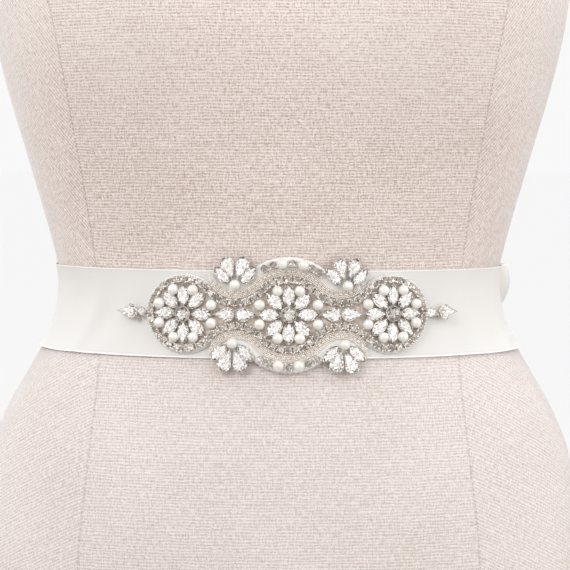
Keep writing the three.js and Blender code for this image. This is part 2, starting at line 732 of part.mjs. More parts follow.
// Fans: a pearl, two drops upright and a leaf to either side of them
const FAN_DROP = { length: 13.2, turn: 20, away: 3.7 };
const FAN_LEAF_SPOT = { across: 7.5, up: 5.2, turn: 42 };
const FANS = [
  // places of the fans' pearls, and whether the stones point up or down
  { name: "upper_left", u: -30, v: 17.2, upright: 1 },
  { name: "upper_right", u: 33, v: 16.6, upright: 1 },
  { name: "lower_left", u: -31.7, v: -17, upright: -1 },
  { name: "lower_right", u: 31.3, v: -17.8, upright: -1 },
];
for (const { name, u, v, upright } of FANS) {
  const at = (x, y, degrees) =>
    seat(u + x, v + upright * y, TRIM_IN + PLATE / 2, rad(upright * degrees));
  const far = FAN_DROP.away + FAN_DROP.length / 2;
  const stones = [-1, 1].flatMap((hand) => [
    // a drop's narrow end is at its outline's +x, and it lies towards the pearl
    stone(
      dropOutline(FAN_DROP.length, DROP.width),
      DROP.height,
      at(
        hand * far * Math.sin(rad(FAN_DROP.turn)),
        far * Math.cos(rad(FAN_DROP.turn)),
        -90 - hand * FAN_DROP.turn,
      ),
    ),
    stone(
      leafOutline(FAN_LEAF.length, FAN_LEAF.width),
      FAN_LEAF.height,
      at(hand * FAN_LEAF_SPOT.across, FAN_LEAF_SPOT.up, 90 - hand * FAN_LEAF_SPOT.turn),
    ),
  ]);
  const plate = wall(10, 1, (s, t, side) => {
    const edge = FAN_PLATE.edge;
    const a = rad(upright * lerp(edge, 180 - edge, upright > 0 ? s : 1 - s));
    const p = spotOn(u, v, lerp(FAN_PLATE.inner, FAN_PLATE.outer, t), a);
    return wrap(p.x, p.y, TRIM_IN + side * PLATE);
  });
  add(`trim_fan_${name}`, join([plate, ...stones]), CRYSTAL);
  const pearl = add(
    `trim_fan_pearl_${name}`,
    new THREE.SphereGeometry(PEARL_RADIUS, PEARL_SIDES, PEARL_RINGS),
    PEARL,
  );
  pearl.position.copy(wrap(u, v, TRIM_IN + PEARL_RADIUS));
}

export default sash;
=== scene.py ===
import bpy
import numpy as np
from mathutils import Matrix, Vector


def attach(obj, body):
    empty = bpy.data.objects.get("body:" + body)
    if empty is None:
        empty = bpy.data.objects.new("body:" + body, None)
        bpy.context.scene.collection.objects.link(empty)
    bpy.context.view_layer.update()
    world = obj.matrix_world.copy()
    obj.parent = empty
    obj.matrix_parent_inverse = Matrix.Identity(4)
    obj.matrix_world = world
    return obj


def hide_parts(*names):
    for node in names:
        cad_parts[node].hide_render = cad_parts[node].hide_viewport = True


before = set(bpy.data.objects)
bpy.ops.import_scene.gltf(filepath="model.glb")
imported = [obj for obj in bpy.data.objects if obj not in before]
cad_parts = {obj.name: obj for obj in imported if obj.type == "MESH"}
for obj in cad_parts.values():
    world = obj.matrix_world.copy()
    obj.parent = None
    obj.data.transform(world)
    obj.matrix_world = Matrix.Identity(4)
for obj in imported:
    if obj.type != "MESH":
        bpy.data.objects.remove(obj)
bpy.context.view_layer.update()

MM = 0.001


# Dress form: a torso of foam and papier-mache under a glued cover of slubby natural linen. The cover
# is sewn from a middle panel between two long seams at the front and at the back, and from side
# panels cut on the slant, with a flat plate of the same linen where each arm would be.
def table(names, rows, plain=()):
    """Rows as a table with named columns, which are lengths in millimetres except for the plain ones."""
    made = np.array(rows, dtype=[(name, float) for name in names.split()])
    for name in made.dtype.names:
        if name not in plain:
            made[name] *= MM
    return made


WAIST = 275 * MM  # above the surface that the form stands on
# Level sections: height above the waist, half width, depth to the front and to the back, and the
# power of the outline, which is 2 for an ellipse
FORM_SECTIONS = table(
    "height half front back power",
    [
        (-262.7, 172, 106, 124, 2.3),
        (-225, 185, 115, 137, 2.3),
        (-180, 189, 119, 142, 2.25),
        (-140, 185, 118, 137, 2.2),
        (-103, 175.5, 114, 127, 2.15),
        (-74, 163.5, 109, 116, 2.1),
        (-46, 147.5, 103.5, 105, 2.05),
        (-28, 137.5, 100, 99, 2),
        (-12, 132.5, 98.3, 95.5, 2),
        (4, 131.5, 98, 94, 2),
        (20, 134.5, 98.8, 94.5, 2),
        (44, 141, 102, 98, 2.05),
        (80, 151.5, 109, 105, 2.1),
        (116, 162, 117, 111, 2.15),
        (152, 170.5, 122, 116, 2.2),
        (190, 176, 122, 120, 2.25),
        (230, 180, 113, 123, 2.3),
        (275, 187, 97, 121, 2.3),
        (315, 191, 80, 111, 2.3),
        (345, 189, 66, 96, 2.3),
        (362, 176, 57, 84, 2.3),
        (376, 146, 51, 75, 2.2),
        (389, 108, 48, 68, 2.1),
        (402, 78, 46.5, 63, 2),
        (417, 62, 46, 60, 2),
        (436, 56, 46, 57, 2),
        (455, 54, 46, 55, 2),
    ],
    plain=("power",),
)
BUST = {"height": 168 * MM, "rise": 55 * MM, "apart": 82 * MM, "spread": 54 * MM, "depth": 15 * MM}
ARM_PLATE = {"half": 177 * MM, "softness": 3 * MM}


def column(table, key, name, at):
    """Smooth curve through one column of a table: a cubic between two rows, whose slope at a row is
    that of the chord between the rows beside it."""
    x, y = table[key], table[name]
    last = len(x) - 1
    low, high = np.maximum(np.arange(last + 1) - 1, 0), np.minimum(np.arange(last + 1) + 1, last)
    slope = (y[high] - y[low]) / (x[high] - x[low])
    i = np.clip(np.searchsorted(x, at, side="left") - 1, 0, last - 1)
    span = x[i + 1] - x[i]
    t = np.clip((at - x[i]) / span, 0, 1)
    return (
        y[i] * (1 + 2 * t) * (1 - t) ** 2
        + slope[i] * span * t * (1 - t) ** 2
        + y[i + 1] * t * t * (3 - 2 * t)
        + slope[i + 1] * span * t * t * (t - 1)
    )


def form_point(angle, height):
    """Point of the form at a height above the waist: a section between an ellipse and a rectangle,
    |x / half|^power + |y / depth|^power = 1, cut off softly at the arm plates and lifted by a bell
    curve at each side of the bust. The angle turns from +X through +Y."""
    angle, height = np.broadcast_arrays(angle, height)
    c, s = np.cos(angle), np.sin(angle)
    power = column(FORM_SECTIONS, "height", "power", height)
    full = (np.abs(c) ** power + np.abs(s) ** power) ** (-1 / power)
    wide = column(FORM_SECTIONS, "height", "half", height) * c * full
    past = (np.abs(wide) - ARM_PLATE["half"]) / ARM_PLATE["softness"]
    x = np.sign(wide) * (np.abs(wide) - ARM_PLATE["softness"] * np.logaddexp(0, past))
    swell = sum(np.exp(-(((x - side * BUST["apart"]) / BUST["spread"]) ** 2)) for side in (-1, 1))
    swell = swell * np.exp(-(((height - BUST["height"]) / BUST["rise"]) ** 2)) * np.maximum(0, -s)
    front = column(FORM_SECTIONS, "height", "front", height)
    back = column(FORM_SECTIONS, "height", "back", height)
    y = np.where(s < 0, front, back) * s * full - BUST["depth"] * swell
    return np.stack([x, y, WAIST + height], axis=-1)


def unit(vectors):
    """Vectors brought to a length of 1."""
    return vectors / np.linalg.norm(vectors, axis=-1, keepdims=True)


def run_along(path):
    """Distance from the first point of a path, or of each row of a grid, to each of its points."""
    steps = np.linalg.norm(np.diff(path, axis=-2), axis=-1)
    return np.concatenate([np.zeros((*steps.shape[:-1], 1)), np.cumsum(steps, axis=-1)], axis=-1)


def full_turn(count):
    """Angles at an even pitch round a full turn."""
    return np.linspace(0, 2 * np.pi, count, endpoint=False)


def off_form(angle, height, out):
    """The form's point moved out along its normal, the cross product of its two slopes."""
    turn, rise = 1e-3, 0.1 * MM
    around = form_point(angle + turn, height) - form_point(angle - turn, height)
    up = form_point(angle, height + rise) - form_point(angle, height - rise)
    return form_point(angle, height) + unit(np.cross(around, up)) * np.asarray(out)[..., None]


def make_piece(name, points, faces, materials, slot, smooth=True, which=None):
    """A mesh object at the origin that rides on the part. faces is a list of arrays of corners, and
    which gives each face's place in the list of materials."""
    mesh = bpy.data.meshes.new(name)
    corners = [face for group in faces for face in group.tolist()]
    mesh.from_pydata(np.reshape(points, (-1, 3)).tolist(), [], corners)
    mesh.polygons.foreach_set("use_smooth", np.full(len(corners), smooth))
    for material in materials:
        mesh.materials.append(material)
    if which is not None:
        mesh.polygons.foreach_set("material_index", which)
    mesh.update()
    made = bpy.data.objects.new(name, mesh)
    bpy.context.scene.collection.objects.link(made)
    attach(made, "root")
    return made


def grid_faces(rows, columns, ring=False, across_ring=False):
    """Quads of a grid of rows by columns of points. A ring joins the last row to the first, and an
    across ring the last column to the first."""
    i, j = np.meshgrid(
        np.arange(rows if ring else rows - 1),
        np.arange(columns if across_ring else columns - 1),
        indexing="ij",
    )
    i2, j2 = (i + 1) % rows, (j + 1) % columns
    quads = [i * columns + j, i * columns + j2, i2 * columns + j2, i2 * columns + j]
    return np.stack(quads, axis=-1).reshape(-1, 4)


def lay_uv(obj, across, along):
    """A UV map from a value of u and v at each corner of each face, in metres of cloth."""
    layer = obj.data.uv_layers.new(name="cloth")
    layer.data.foreach_set("uv", np.stack([across, along], axis=-1).astype(np.float32).ravel())


def paint(obj, name, values):
    """A number at each point, which the material reads by its name."""
    layer = obj.data.attributes.new(name, "FLOAT", "POINT")
    layer.data.foreach_set("value", np.asarray(values, np.float32).ravel())


def add_node(tree, kind, inputs=None, **settings):
    """A node with its settings, and each input linked or set by its name or number."""
    made = tree.nodes.new(kind)
    for key, value in settings.items():
        setattr(made, key, value)
    for key, value in (inputs or {}).items():
        if isinstance(value, bpy.types.NodeSocket):
            tree.links.new(value, made.inputs[key])
        else:
            made.inputs[key].default_value = value
    return made


def math_node(tree, operation, a, b=0.0, c=0.0):
    """One step of arithmetic on values."""
    return add_node(tree, "ShaderNodeMath", {0: a, 1: b, 2: c}, operation=operation).outputs[0]


def weighed(tree, parts, start=0.0):
    """Sum of values, each times its weight."""
    for value, weight in parts:
        start = math_node(tree, "MULTIPLY_ADD", value, weight, start)
    return start


def range_node(tree, value, low, high, to_low=0.0, to_high=1.0):
    """A value carried smoothly from one range to another."""
    inputs = {"Value": value, 1: low, 2: high, 3: to_low, 4: to_high}
    return add_node(tree, "ShaderNodeMapRange", inputs, interpolation_type="SMOOTHSTEP").outputs[0]


def mix_node(tree, share, first, second):
    """A colour between two others."""
    return add_node(tree, "ShaderNodeMix", {0: share, 6: first, 7: second}, data_type="RGBA").outputs[2]


def blend_node(tree, share, first, second):
    """A value between two others."""
    return add_node(tree, "ShaderNodeMix", {0: share, 2: first, 3: second}, data_type="FLOAT").outputs[0]


def noise_node(tree, vector, scale, detail=2.0, roughness=0.5):
    """Noise from 0 to 1, with one scale for all axes or one for each."""
    if not np.isscalar(scale):
        inputs = {0: vector, 1: scale}
        vector = add_node(tree, "ShaderNodeVectorMath", inputs, operation="MULTIPLY").outputs[0]
        scale = 1.0
    inputs = {"Vector": vector, "Scale": scale, "Detail": detail, "Roughness": roughness}
    return add_node(tree, "ShaderNodeTexNoise", inputs).outputs["Fac"]


def cloth_place(tree):
    """Where a point lies on its cloth, in metres."""
    return add_node(tree, "ShaderNodeUVMap", uv_map="cloth").outputs[0]


def object_place(tree):
    """Where a point lies in the part's own frame."""
    return add_node(tree, "ShaderNodeTexCoord").outputs["Object"]


def painted(tree, name):
    """The number painted on the mesh under a name."""
    return add_node(tree, "ShaderNodeAttribute", attribute_name=name).outputs["Fac"]


def bump(tree, shader, height, strength, distance):
    """Relief from a height."""
    inputs = {"Strength": strength, "Distance": distance, "Height": height}
    tree.links.new(add_node(tree, "ShaderNodeBump", inputs).outputs[0], shader.inputs["Normal"])


def new_group(name, inputs, outputs):
    """A shader node group with named sockets. Returns it with its input and output nodes."""
    group = bpy.data.node_groups.new(name, "ShaderNodeTree")
    for socket, kind, start in inputs:
        made = group.interface.new_socket(socket, in_out="INPUT", socket_type=kind)
        if start is not None:
            made.default_value = start
    for socket, kind in outputs:
        group.interface.new_socket(socket, in_out="OUTPUT", socket_type=kind)
    return group, group.nodes.new("NodeGroupInput"), group.nodes.new("NodeGroupOutput")


def new_material(name, **values):
    """A material with a Principled shader and plain values on its sockets."""
    material = bpy.data.materials.new(name)
    material.use_nodes = True
    shader = material.node_tree.nodes["Principled BSDF"]
    for socket, value in values.items():
        shader.inputs[socket.replace("_", " ")].default_value = value
    return material, material.node_tree, shader


WEFT_PITCH = 1.75 * MM  # from one thick weft thread to the next


def weave_group():
    """Linen weave: rows of uneven weft threads with short slubs, finer warp threads across them, and
    grain. Vector is in metres of cloth with the weft along x, turned first by Turn."""
    group, given, out = new_group(
        "linen weave",
        [("Vector", "NodeSocketVector", None), ("Turn", "NodeSocketFloat", 0.0)],
        [("Tone", "NodeSocketFloat")],
    )
    turned = {"Vector": given.outputs["Vector"], "Angle": given.outputs["Turn"]}
    spot = add_node(group, "ShaderNodeVectorRotate", turned).outputs[0]
    wander = noise_node(group, spot, (60, 220, 1))
    up = add_node(group, "ShaderNodeSeparateXYZ", {0: spot}).outputs["Y"]
    phase = math_node(group, "MULTIPLY", up, 2 * np.pi / WEFT_PITCH)
    thread = math_node(group, "SINE", math_node(group, "MULTIPLY_ADD", wander, 8.0, phase))
    slub = noise_node(group, spot, (380, 1700, 1), 2.0, 0.6)
    streak = noise_node(group, spot, (60, 950, 1))
    warp = noise_node(group, spot, (1050, 230, 1), 2.0, 0.6)
    grain = noise_node(group, spot, (1300, 1300, 1), 2.0, 0.7)
    parts = [(thread, 0.065), (slub, 0.34), (streak, 0.10), (warp, 0.42), (grain, 0.62)]
    group.links.new(weighed(group, parts, -0.19), out.inputs["Tone"])
    return group


weave = weave_group()
LINEN_LIGHT = (0.90, 0.83, 0.79, 1)
LINEN_DARK = (0.47, 0.335, 0.28, 1)
HIPS_PAINTED_LIGHT = (0.70, 0.675, 0.66, 1)  # painted light: the hips face up into the top light, so their cloth is painted paler
HIPS_TO = 252 * MM  # up the cloth from the board, where the painted light on the hips ends under the ribbon
BUST_LIT = (HIPS_TO + 70 * MM, HIPS_TO + 170 * MM)  # where painted light makes the cloth lighter towards the bust
SLANT = {"upper": 0.75, "lower": 0.42}  # turn of the side panels' threads above and below the waist
STITCH_PITCH = 3.2 * MM


def linen_material():
    """Natural linen: the weave straight on the middle panels and turned on the side panels, with painted
    light that makes it paler on the hips and lighter at the bust. It is darker and sunk at the seams, with
    their small stitches."""
    material, tree, shader = new_material(
        "linen", Roughness=0.85, Sheen_Weight=0.8, Sheen_Roughness=0.4, Specular_IOR_Level=0.25
    )
    cloth = cloth_place(tree)
    straight = add_node(tree, "ShaderNodeGroup", node_tree=weave)
    tree.links.new(cloth, straight.inputs["Vector"])
    turned = add_node(tree, "ShaderNodeGroup", node_tree=weave)
    tree.links.new(cloth, turned.inputs["Vector"])
    tree.links.new(painted(tree, "slant"), turned.inputs["Turn"])
    on_side = range_node(tree, painted(tree, "side_panel"), -0.0002, 0.0002)
    tone = blend_node(tree, on_side, straight.outputs["Tone"], turned.outputs["Tone"])
    blotch = noise_node(tree, cloth, (14, 14, 1), 3.0)
    tone = math_node(tree, "MULTIPLY_ADD", blotch, 0.12, tone)
    along = add_node(tree, "ShaderNodeSeparateXYZ", {0: cloth}).outputs["Y"]
    line = range_node(tree, math_node(tree, "ABSOLUTE", painted(tree, "seam")), 0.0002, 0.0011, 1.0, 0.0)
    stitch = math_node(tree, "SINE", math_node(tree, "MULTIPLY", along, 2 * np.pi / STITCH_PITCH))
    line = math_node(tree, "MULTIPLY", line, range_node(tree, stitch, -0.2, 0.5, 0.35, 1.0))
    # painted light: the cloth's tone grows lighter towards the bust
    lit_bust = range_node(tree, along, *BUST_LIT, 0.0, 0.04)
    share = range_node(tree, math_node(tree, "ADD", tone, lit_bust), 0.40, 0.77)
    # painted light: below HIPS_TO the upward-facing hips are mixed towards a paler, lit colour
    lit_hips = range_node(tree, along, HIPS_TO + 4 * MM, HIPS_TO - 4 * MM)
    crisper = math_node(tree, "MULTIPLY_ADD", share, 1.04, -0.02)
    share = math_node(tree, "MULTIPLY_ADD", line, -0.4, blend_node(tree, lit_hips, share, crisper))
    share = add_node(tree, "ShaderNodeClamp", {0: share}).outputs[0]
    color = mix_node(tree, share, LINEN_DARK, LINEN_LIGHT)
    color = mix_node(tree, math_node(tree, "MULTIPLY", lit_hips, 0.34), color, HIPS_PAINTED_LIGHT)
    tree.links.new(color, shader.inputs["Base Color"])
    bump(tree, shader, math_node(tree, "MULTIPLY_ADD", line, -0.8, tone), 0.7, 0.0007)
    return material


linen = linen_material()
# Where the front's two long seams run: height above the waist and distance from the middle
LONG_SEAM = table(
    "height x",
    [
        (-262.7, 110),
        (-157, 114),
        (-100, 109),
        (-41, 103.5),
        (14, 106),
        (90, 117),
        (164, 130),
        (215, 146),
        (262, 176),
        (455, 200),
    ],
)
RIBBON_LEVEL = -13 * MM  # the side panels are pieced under the ribbon
BACK_SEAM_SHARE = 0.52  # of the half width, for the back's two long seams
PLATE_EDGE_SLOPE = 0.35  # distance from an arm plate's edge for each unit cut off the width
FORM_COLUMNS = 240
FORM_ROWS = 250


def dress_form_cover():
    """A grid of angles by heights of form_point, closed by a flat fan at its top and bottom. u is the
    distance round from the middle of the front and v the distance up the surface."""
    low, high = FORM_SECTIONS["height"][[0, -1]]
    heights = np.linspace(low, high, FORM_ROWS)
    turn = np.linspace(0, 2 * np.pi, FORM_COLUMNS + 1)
    angles = np.pi / 2 + turn  # from the middle of the back, by the left side, to it again
    spots = form_point(angles[None], heights[:, None])
    around = run_along(spots)
    around = around - around[:, [FORM_COLUMNS // 2]]
    up = run_along(spots[:, FORM_COLUMNS // 2])
    shown = spots[:, :FORM_COLUMNS]
    ends = np.array([[0, 0, WAIST + low], [0, 0, WAIST + high]])
    points = np.concatenate([shown.reshape(-1, 3), ends])
    sides = grid_faces(FORM_ROWS, FORM_COLUMNS, across_ring=True)
    ring = np.arange(FORM_COLUMNS)
    after = (ring + 1) % FORM_COLUMNS
    first_end = FORM_ROWS * FORM_COLUMNS
    bottom = np.stack([np.full(FORM_COLUMNS, first_end), after, ring], axis=-1)
    top_row = (FORM_ROWS - 1) * FORM_COLUMNS
    top = np.stack([np.full(FORM_COLUMNS, first_end + 1), top_row + ring, top_row + after], axis=-1)
    made = make_piece("form_cover", points, [sides, bottom, top], [linen], "linen")
    i, j = np.meshgrid(np.arange(FORM_ROWS - 1), ring, indexing="ij")
    corner_u = np.stack([around[i, j], around[i, j + 1], around[i + 1, j + 1], around[i + 1, j]], -1)
    corner_v = np.stack([up[i], up[i], up[i + 1], up[i + 1]], -1)
    flat_ends = np.zeros(2 * 3 * FORM_COLUMNS)
    lay_uv(made, np.r_[corner_u.ravel(), flat_ends], np.r_[corner_v.ravel(), flat_ends])
    return made, angles[:FORM_COLUMNS], heights, around


def seam_angle(share, power):
    """Angle from the side at which a section reaches that share of its half width."""
    share = np.clip(share, 0, 0.9999)
    return np.arctan2((1 - share**power) ** (1 / power), share)


def form_seams(made, angles, heights, around):
    """Paints the distance to the nearest seam, found along each row of the grid or from the arm
    plate's edge, how far a point lies inside a side panel, and the turn of that panel's threads."""
    power = column(FORM_SECTIONS, "height", "power", heights)
    half = column(FORM_SECTIONS, "height", "half", heights)
    front = seam_angle(column(LONG_SEAM, "height", "x", heights) / half, power)
    back = seam_angle(np.full(FORM_ROWS, BACK_SEAM_SHARE), power)
    quarter = np.pi / 2
    # angles turned on from the middle of the back
    seams = [
        quarter - back,
        np.full(FORM_ROWS, quarter),
        quarter + front,
        3 * quarter - front,
        np.full(FORM_ROWS, 3 * quarter),
        3 * quarter + back,
    ]
    turned = np.append(angles - np.pi / 2, 2 * np.pi)
    places = np.array(
        [[np.interp(seam[row], turned, around[row]) for row in range(FORM_ROWS)] for seam in seams]
    )
    gaps = around[None, :, :FORM_COLUMNS] - places[:, :, None]
    nearest = np.abs(gaps).argmin(axis=0)
    seam = np.take_along_axis(gaps, nearest[None], axis=0)[0]
    c, s, power = np.abs(np.cos(angles)), np.abs(np.sin(angles)), power[:, None]
    wide = half[:, None] * c * (c**power + s**power) ** (-1 / power)
    plate = PLATE_EDGE_SLOPE * (wide - ARM_PLATE["half"])
    arm = heights[:, None] > RIBBON_LEVEL
    seam = np.where(arm & ((np.abs(plate) < np.abs(seam)) | (plate > 0)), plate, seam)
    far = np.abs(around[:, :FORM_COLUMNS])
    panel = np.minimum(far - places[3][:, None], places[5][:, None] - far)
    hand = np.sign(around[:, :FORM_COLUMNS])
    slant = hand * np.where(heights[:, None] < RIBBON_LEVEL, SLANT["lower"], -SLANT["upper"])
    pad = np.zeros(2)
    paint(made, "seam", np.r_[seam.ravel(), pad + 1])
    paint(made, "side_panel", np.r_[panel.ravel(), pad])
    paint(made, "slant", np.r_[np.broadcast_to(slant, seam.shape).ravel(), pad])


cover, cover_angles, cover_heights, cover_around = dress_form_cover()
form_seams(cover, cover_angles, cover_heights, cover_around)
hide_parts("form_body")


# Neck cap and base board: turned and sawn from pale beech, with eased edges and a clear satin
# lacquer. The cap is screwed on the neck, and the board is screwed under the hips.
def wood_material():
    """Lacquered beech: long fine grain with darker flecks."""
    material, tree, shader = new_material("beech", Roughness=0.42, Coat_Weight=0.25, Coat_Roughness=0.2)
    place = object_place(tree)
    grain = noise_node(tree, place, (14, 260, 260), 4.0, 0.6)
    fleck = noise_node(tree, place, (120, 1400, 1400), 2.0, 0.6)
    share = weighed(tree, [(range_node(tree, fleck, 0.6, 0.72), -0.3)], range_node(tree, grain, 0.3, 0.7))
    share = add_node(tree, "ShaderNodeClamp", {0: share}).outputs[0]
    color = mix_node(tree, share, (0.36, 0.22, 0.12, 1), (0.56, 0.38, 0.23, 1))
    tree.links.new(color, shader.inputs["Base Color"])
    bump(tree, shader, grain, 0.3, 0.0002)
    return material


beech = wood_material()
# Profiles with eased edges, as a scale of the form's section and a rise in millimetres
CAP_PROFILE = [
    (1.0, 0.3), (1.03, 0.6), (1.05, 2.0), (1.055, 4.5),
    (1.045, 7.5), (1.02, 10.2), (0.98, 11.6), (0.94, 12.0),
]
BOARD_PROFILE = [
    (0.94, 0.0), (0.965, 0.25), (0.978, 1.2), (0.98, 3.0), (0.98, 10.5), (0.976, 11.7), (0.96, 12.0),
]
RING_CORNERS = 160


def ring_stack(name, height, floor, profile, node):
    """Rings of the form's section at one height, each at its own scale and rise, with flat ends."""
    section = form_point(full_turn(RING_CORNERS), height)
    scale, rise = np.array(profile).T
    rings = section[None] * scale[:, None, None]
    rings[..., 2] = floor + rise[:, None] * MM
    faces = grid_faces(len(profile), RING_CORNERS, across_ring=True)
    corners = np.arange(RING_CORNERS)
    ends = np.stack([corners[::-1], (len(profile) - 1) * RING_CORNERS + corners])
    made = make_piece(name, rings, [faces, ends], [beech], "wood")
    made.data.polygons.foreach_set("use_smooth", np.arange(len(faces) + 2) < len(faces))
    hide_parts(node)


NECK_TOP = FORM_SECTIONS["height"][-1]
ring_stack("neck_cap", NECK_TOP, WAIST + NECK_TOP, CAP_PROFILE, "form_neck_cap")
ring_stack("base_board", FORM_SECTIONS["height"][0], 0.0, BOARD_PROFILE, "form_board")


# Ribbon: 50 mm ivory satin ribbon, woven with a firm selvedge along both edges. One length goes round
# the waist from the front and is tied at the back, and it lies on the linen with a few soft ripples.
RIBBON_WIDTH = 50 * MM
RIBBON_TOP = 12 * MM
RIBBON_MIDDLE = RIBBON_TOP - RIBBON_WIDTH / 2
RIBBON_WALL = 0.4 * MM
BAND_OUT = 1.3 * MM  # the band's outer face, out from the form
BAND_TILT = 0.0045  # the band drops this much for each unit to the right
IVORY = (0.765, 0.75, 0.725, 1)
IVORY_CLOUD = (0.73, 0.715, 0.69, 1)
IVORY_EDGE = (0.92, 0.91, 0.89, 1)


def satin_material():
    """Ivory satin: smooth, with fine threads across its width, a soft wide gloss and, along both
    edges, a firm bright selvedge next to a faint line."""
    material, tree, shader = new_material(
        "satin", Sheen_Weight=0.2, Sheen_Roughness=0.4, Specular_IOR_Level=0.22
    )
    cloth = cloth_place(tree)
    across = add_node(tree, "ShaderNodeSeparateXYZ", {0: cloth}).outputs["Y"]
    edge = math_node(tree, "ABSOLUTE", math_node(tree, "SUBTRACT", across, 0.5))
    selvedge = range_node(tree, edge, 0.482, 0.488)
    inner, outer = range_node(tree, edge, 0.462, 0.47), range_node(tree, edge, 0.484, 0.477)
    groove = math_node(tree, "MULTIPLY", inner, outer)
    threads = noise_node(tree, cloth, (9000, 6, 1), 2.0, 0.6)
    cloud = noise_node(tree, cloth, (12, 1.2, 1))
    warm = mix_node(tree, range_node(tree, cloud, 0.3, 0.7), IVORY_CLOUD, IVORY)
    tree.links.new(mix_node(tree, selvedge, warm, IVORY_EDGE), shader.inputs["Base Color"])
    height = weighed(tree, [(threads, 0.25), (selvedge, 1.0), (groove, -0.6)])
    bump(tree, shader, height, 0.35, 0.0003)
    tree.links.new(range_node(tree, threads, 0.3, 0.7, 0.42, 0.52), shader.inputs["Roughness"])
    return material


satin = satin_material()
# Soft ripples of the band: place round from the middle of the front and above the ribbon's middle,
# length, width, turn in degrees, and depth, with ridges above 0 and troughs below
RIPPLES = table(
    "u v length width turn depth",
    [
        (-105, 2, 24, 6, 68, -1.1),
        (-116, -6, 22, 7, 75, 1.2),
        (-131, 6, 30, 8, 84, -0.6),
        (-92, -14, 20, 5, 40, 0.45),
        (-160, -4, 34, 9, 86, 0.9),
        (-183, 8, 26, 8, 80, -0.4),
        (112, 6, 30, 9, 82, 0.5),
        (128, -10, 24, 8, 98, -0.45),
        (150, 2, 34, 10, 92, 0.9),
        (176, -6, 28, 8, 85, -0.4),
        (198, 5, 34, 10, 88, 1.0),
        (-205, 0, 34, 10, 95, 1.0),
        (232, -4, 30, 9, 80, -0.45),
        (-236, 4, 28, 9, 96, -0.4),
        (262, 3, 36, 10, 86, 0.9),
        (-268, -5, 36, 11, 94, 0.9),
        (302, 5, 40, 7, 12, -0.5),
        (-304, 4, 40, 7, -14, -0.5),
        (318, -8, 46, 6, -10, 0.8),
        (-320, -9, 44, 6, 9, 0.8),
    ],
    plain=("turn",),
)


def ripple(u, v):
    """Sum of long bell curves, one for each row of RIPPLES."""
    total = 0.0
    for row in RIPPLES:
        turn = np.radians(row["turn"])
        du, dv = u - row["u"], v - row["v"]
        along = (du * np.cos(turn) + dv * np.sin(turn)) / row["length"]
        beside = (dv * np.cos(turn) - du * np.sin(turn)) / row["width"]
        total = total + row["depth"] * np.exp(-(along**2) - beside**2)
    return total


def wall(outer, inner, ring=False):
    """Closed wall between two grids of points. Seen from outside, the outer grid's rows go to the right
    and its columns down. A ring joins its last row to its first."""
    rows, columns = outer.shape[:2]
    points = np.concatenate([outer.reshape(-1, 3), inner.reshape(-1, 3)])
    face = grid_faces(rows, columns, ring)
    back = face[:, ::-1] + rows * columns
    i = np.arange(rows if ring else rows - 1)
    i2 = (i + 1) % rows
    first, last = i * columns, i * columns + columns - 1
    first2, last2 = i2 * columns, i2 * columns + columns - 1
    under = rows * columns
    rims = [
        np.stack([first + under, first, first2, first2 + under], -1),
        np.stack([last, last + under, last2 + under, last2], -1),
    ]
    if not ring:
        j = np.arange(columns - 1)
        tail = (rows - 1) * columns
        rims.append(np.stack([j + under, j + 1 + under, j + 1, j], -1))
        rims.append(np.stack([tail + j, tail + j + 1, tail + j + 1 + under, tail + j + under], -1))
    return points, [face, back, *rims]


def grid_uv(obj, faces, along, across):
    """u and v from a value at each point of the two grids of a wall."""
    corners = np.concatenate([group.ravel() for group in faces])
    lay_uv(obj, np.tile(along.ravel(), 2)[corners], np.tile(across.ravel(), 2)[corners])


def girth_table(height, out):
    """Distance round from the middle of the front against the angle, for a half turn."""
    angle = -np.pi / 2 + np.linspace(0, np.pi, 1601)
    return angle, run_along(off_form(angle, np.full(1601, height), out))


BAND_STEPS = 360
BAND_COLUMNS = 29


def ribbon_band():
    """A ring at an even distance off the form, plus the ripples, which are never under the form."""
    angles = np.pi / 2 + full_turn(BAND_STEPS)
    table, distance = girth_table(RIBBON_MIDDLE, BAND_OUT)
    turned = (angles + np.pi / 2) % (2 * np.pi)
    half = np.minimum(turned, 2 * np.pi - turned)
    u = np.interp(half, table + np.pi / 2, distance) * np.where(turned <= np.pi, 1, -1)
    share = np.linspace(0, 1, BAND_COLUMNS)
    share = 0.5 - 0.5 * np.cos(np.pi * share) * (0.75 + 0.25 * np.cos(np.pi * share) ** 2)
    v = RIBBON_WIDTH * (0.5 - share)
    drop = -BAND_TILT * form_point(angles, np.full(BAND_STEPS, RIBBON_MIDDLE))[:, 0]
    height = RIBBON_MIDDLE + v[None] + drop[:, None]
    lift = ripple(u[:, None], v[None])
    edge = np.abs(2 * share - 1)[None]
    lift = lift + 0.35 * MM * edge**6
    near_trim = np.exp(-((np.abs(u) / (96 * MM)) ** 8))[:, None]
    lift = np.clip(lift, -0.6 * MM, 3 * MM) * (1 - 0.75 * near_trim)
    outer = off_form(angles[:, None], height, BAND_OUT + lift)
    inner = off_form(angles[:, None], height, BAND_OUT - RIBBON_WALL + lift)
    points, faces = wall(outer, inner, ring=True)
    made = make_piece("ribbon_band", points, faces, [satin], "satin")
    grid_uv(made, faces, np.broadcast_to(u[:, None], height.shape), np.broadcast_to(share, height.shape))
    return made


band = ribbon_band()
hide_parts("sash_band")


# Bow: the same ribbon, tied at the middle of the back. Two loops spring from the knot, and their ends
# turn over in a soft round fold. Creases run out from the knot, where the ribbon is gathered.
# The bow's sizes are in millimetres, and the knot's middle is that far behind the form's
KNOT = {"middle": 111, "half_depth": 8.6, "half_height": 13.4, "half_width": 13, "flare": 0.06}
LOOPS = [("right", 1, 147, 2), ("left", -1, 134, 9.5)]  # side, length and droop in degrees
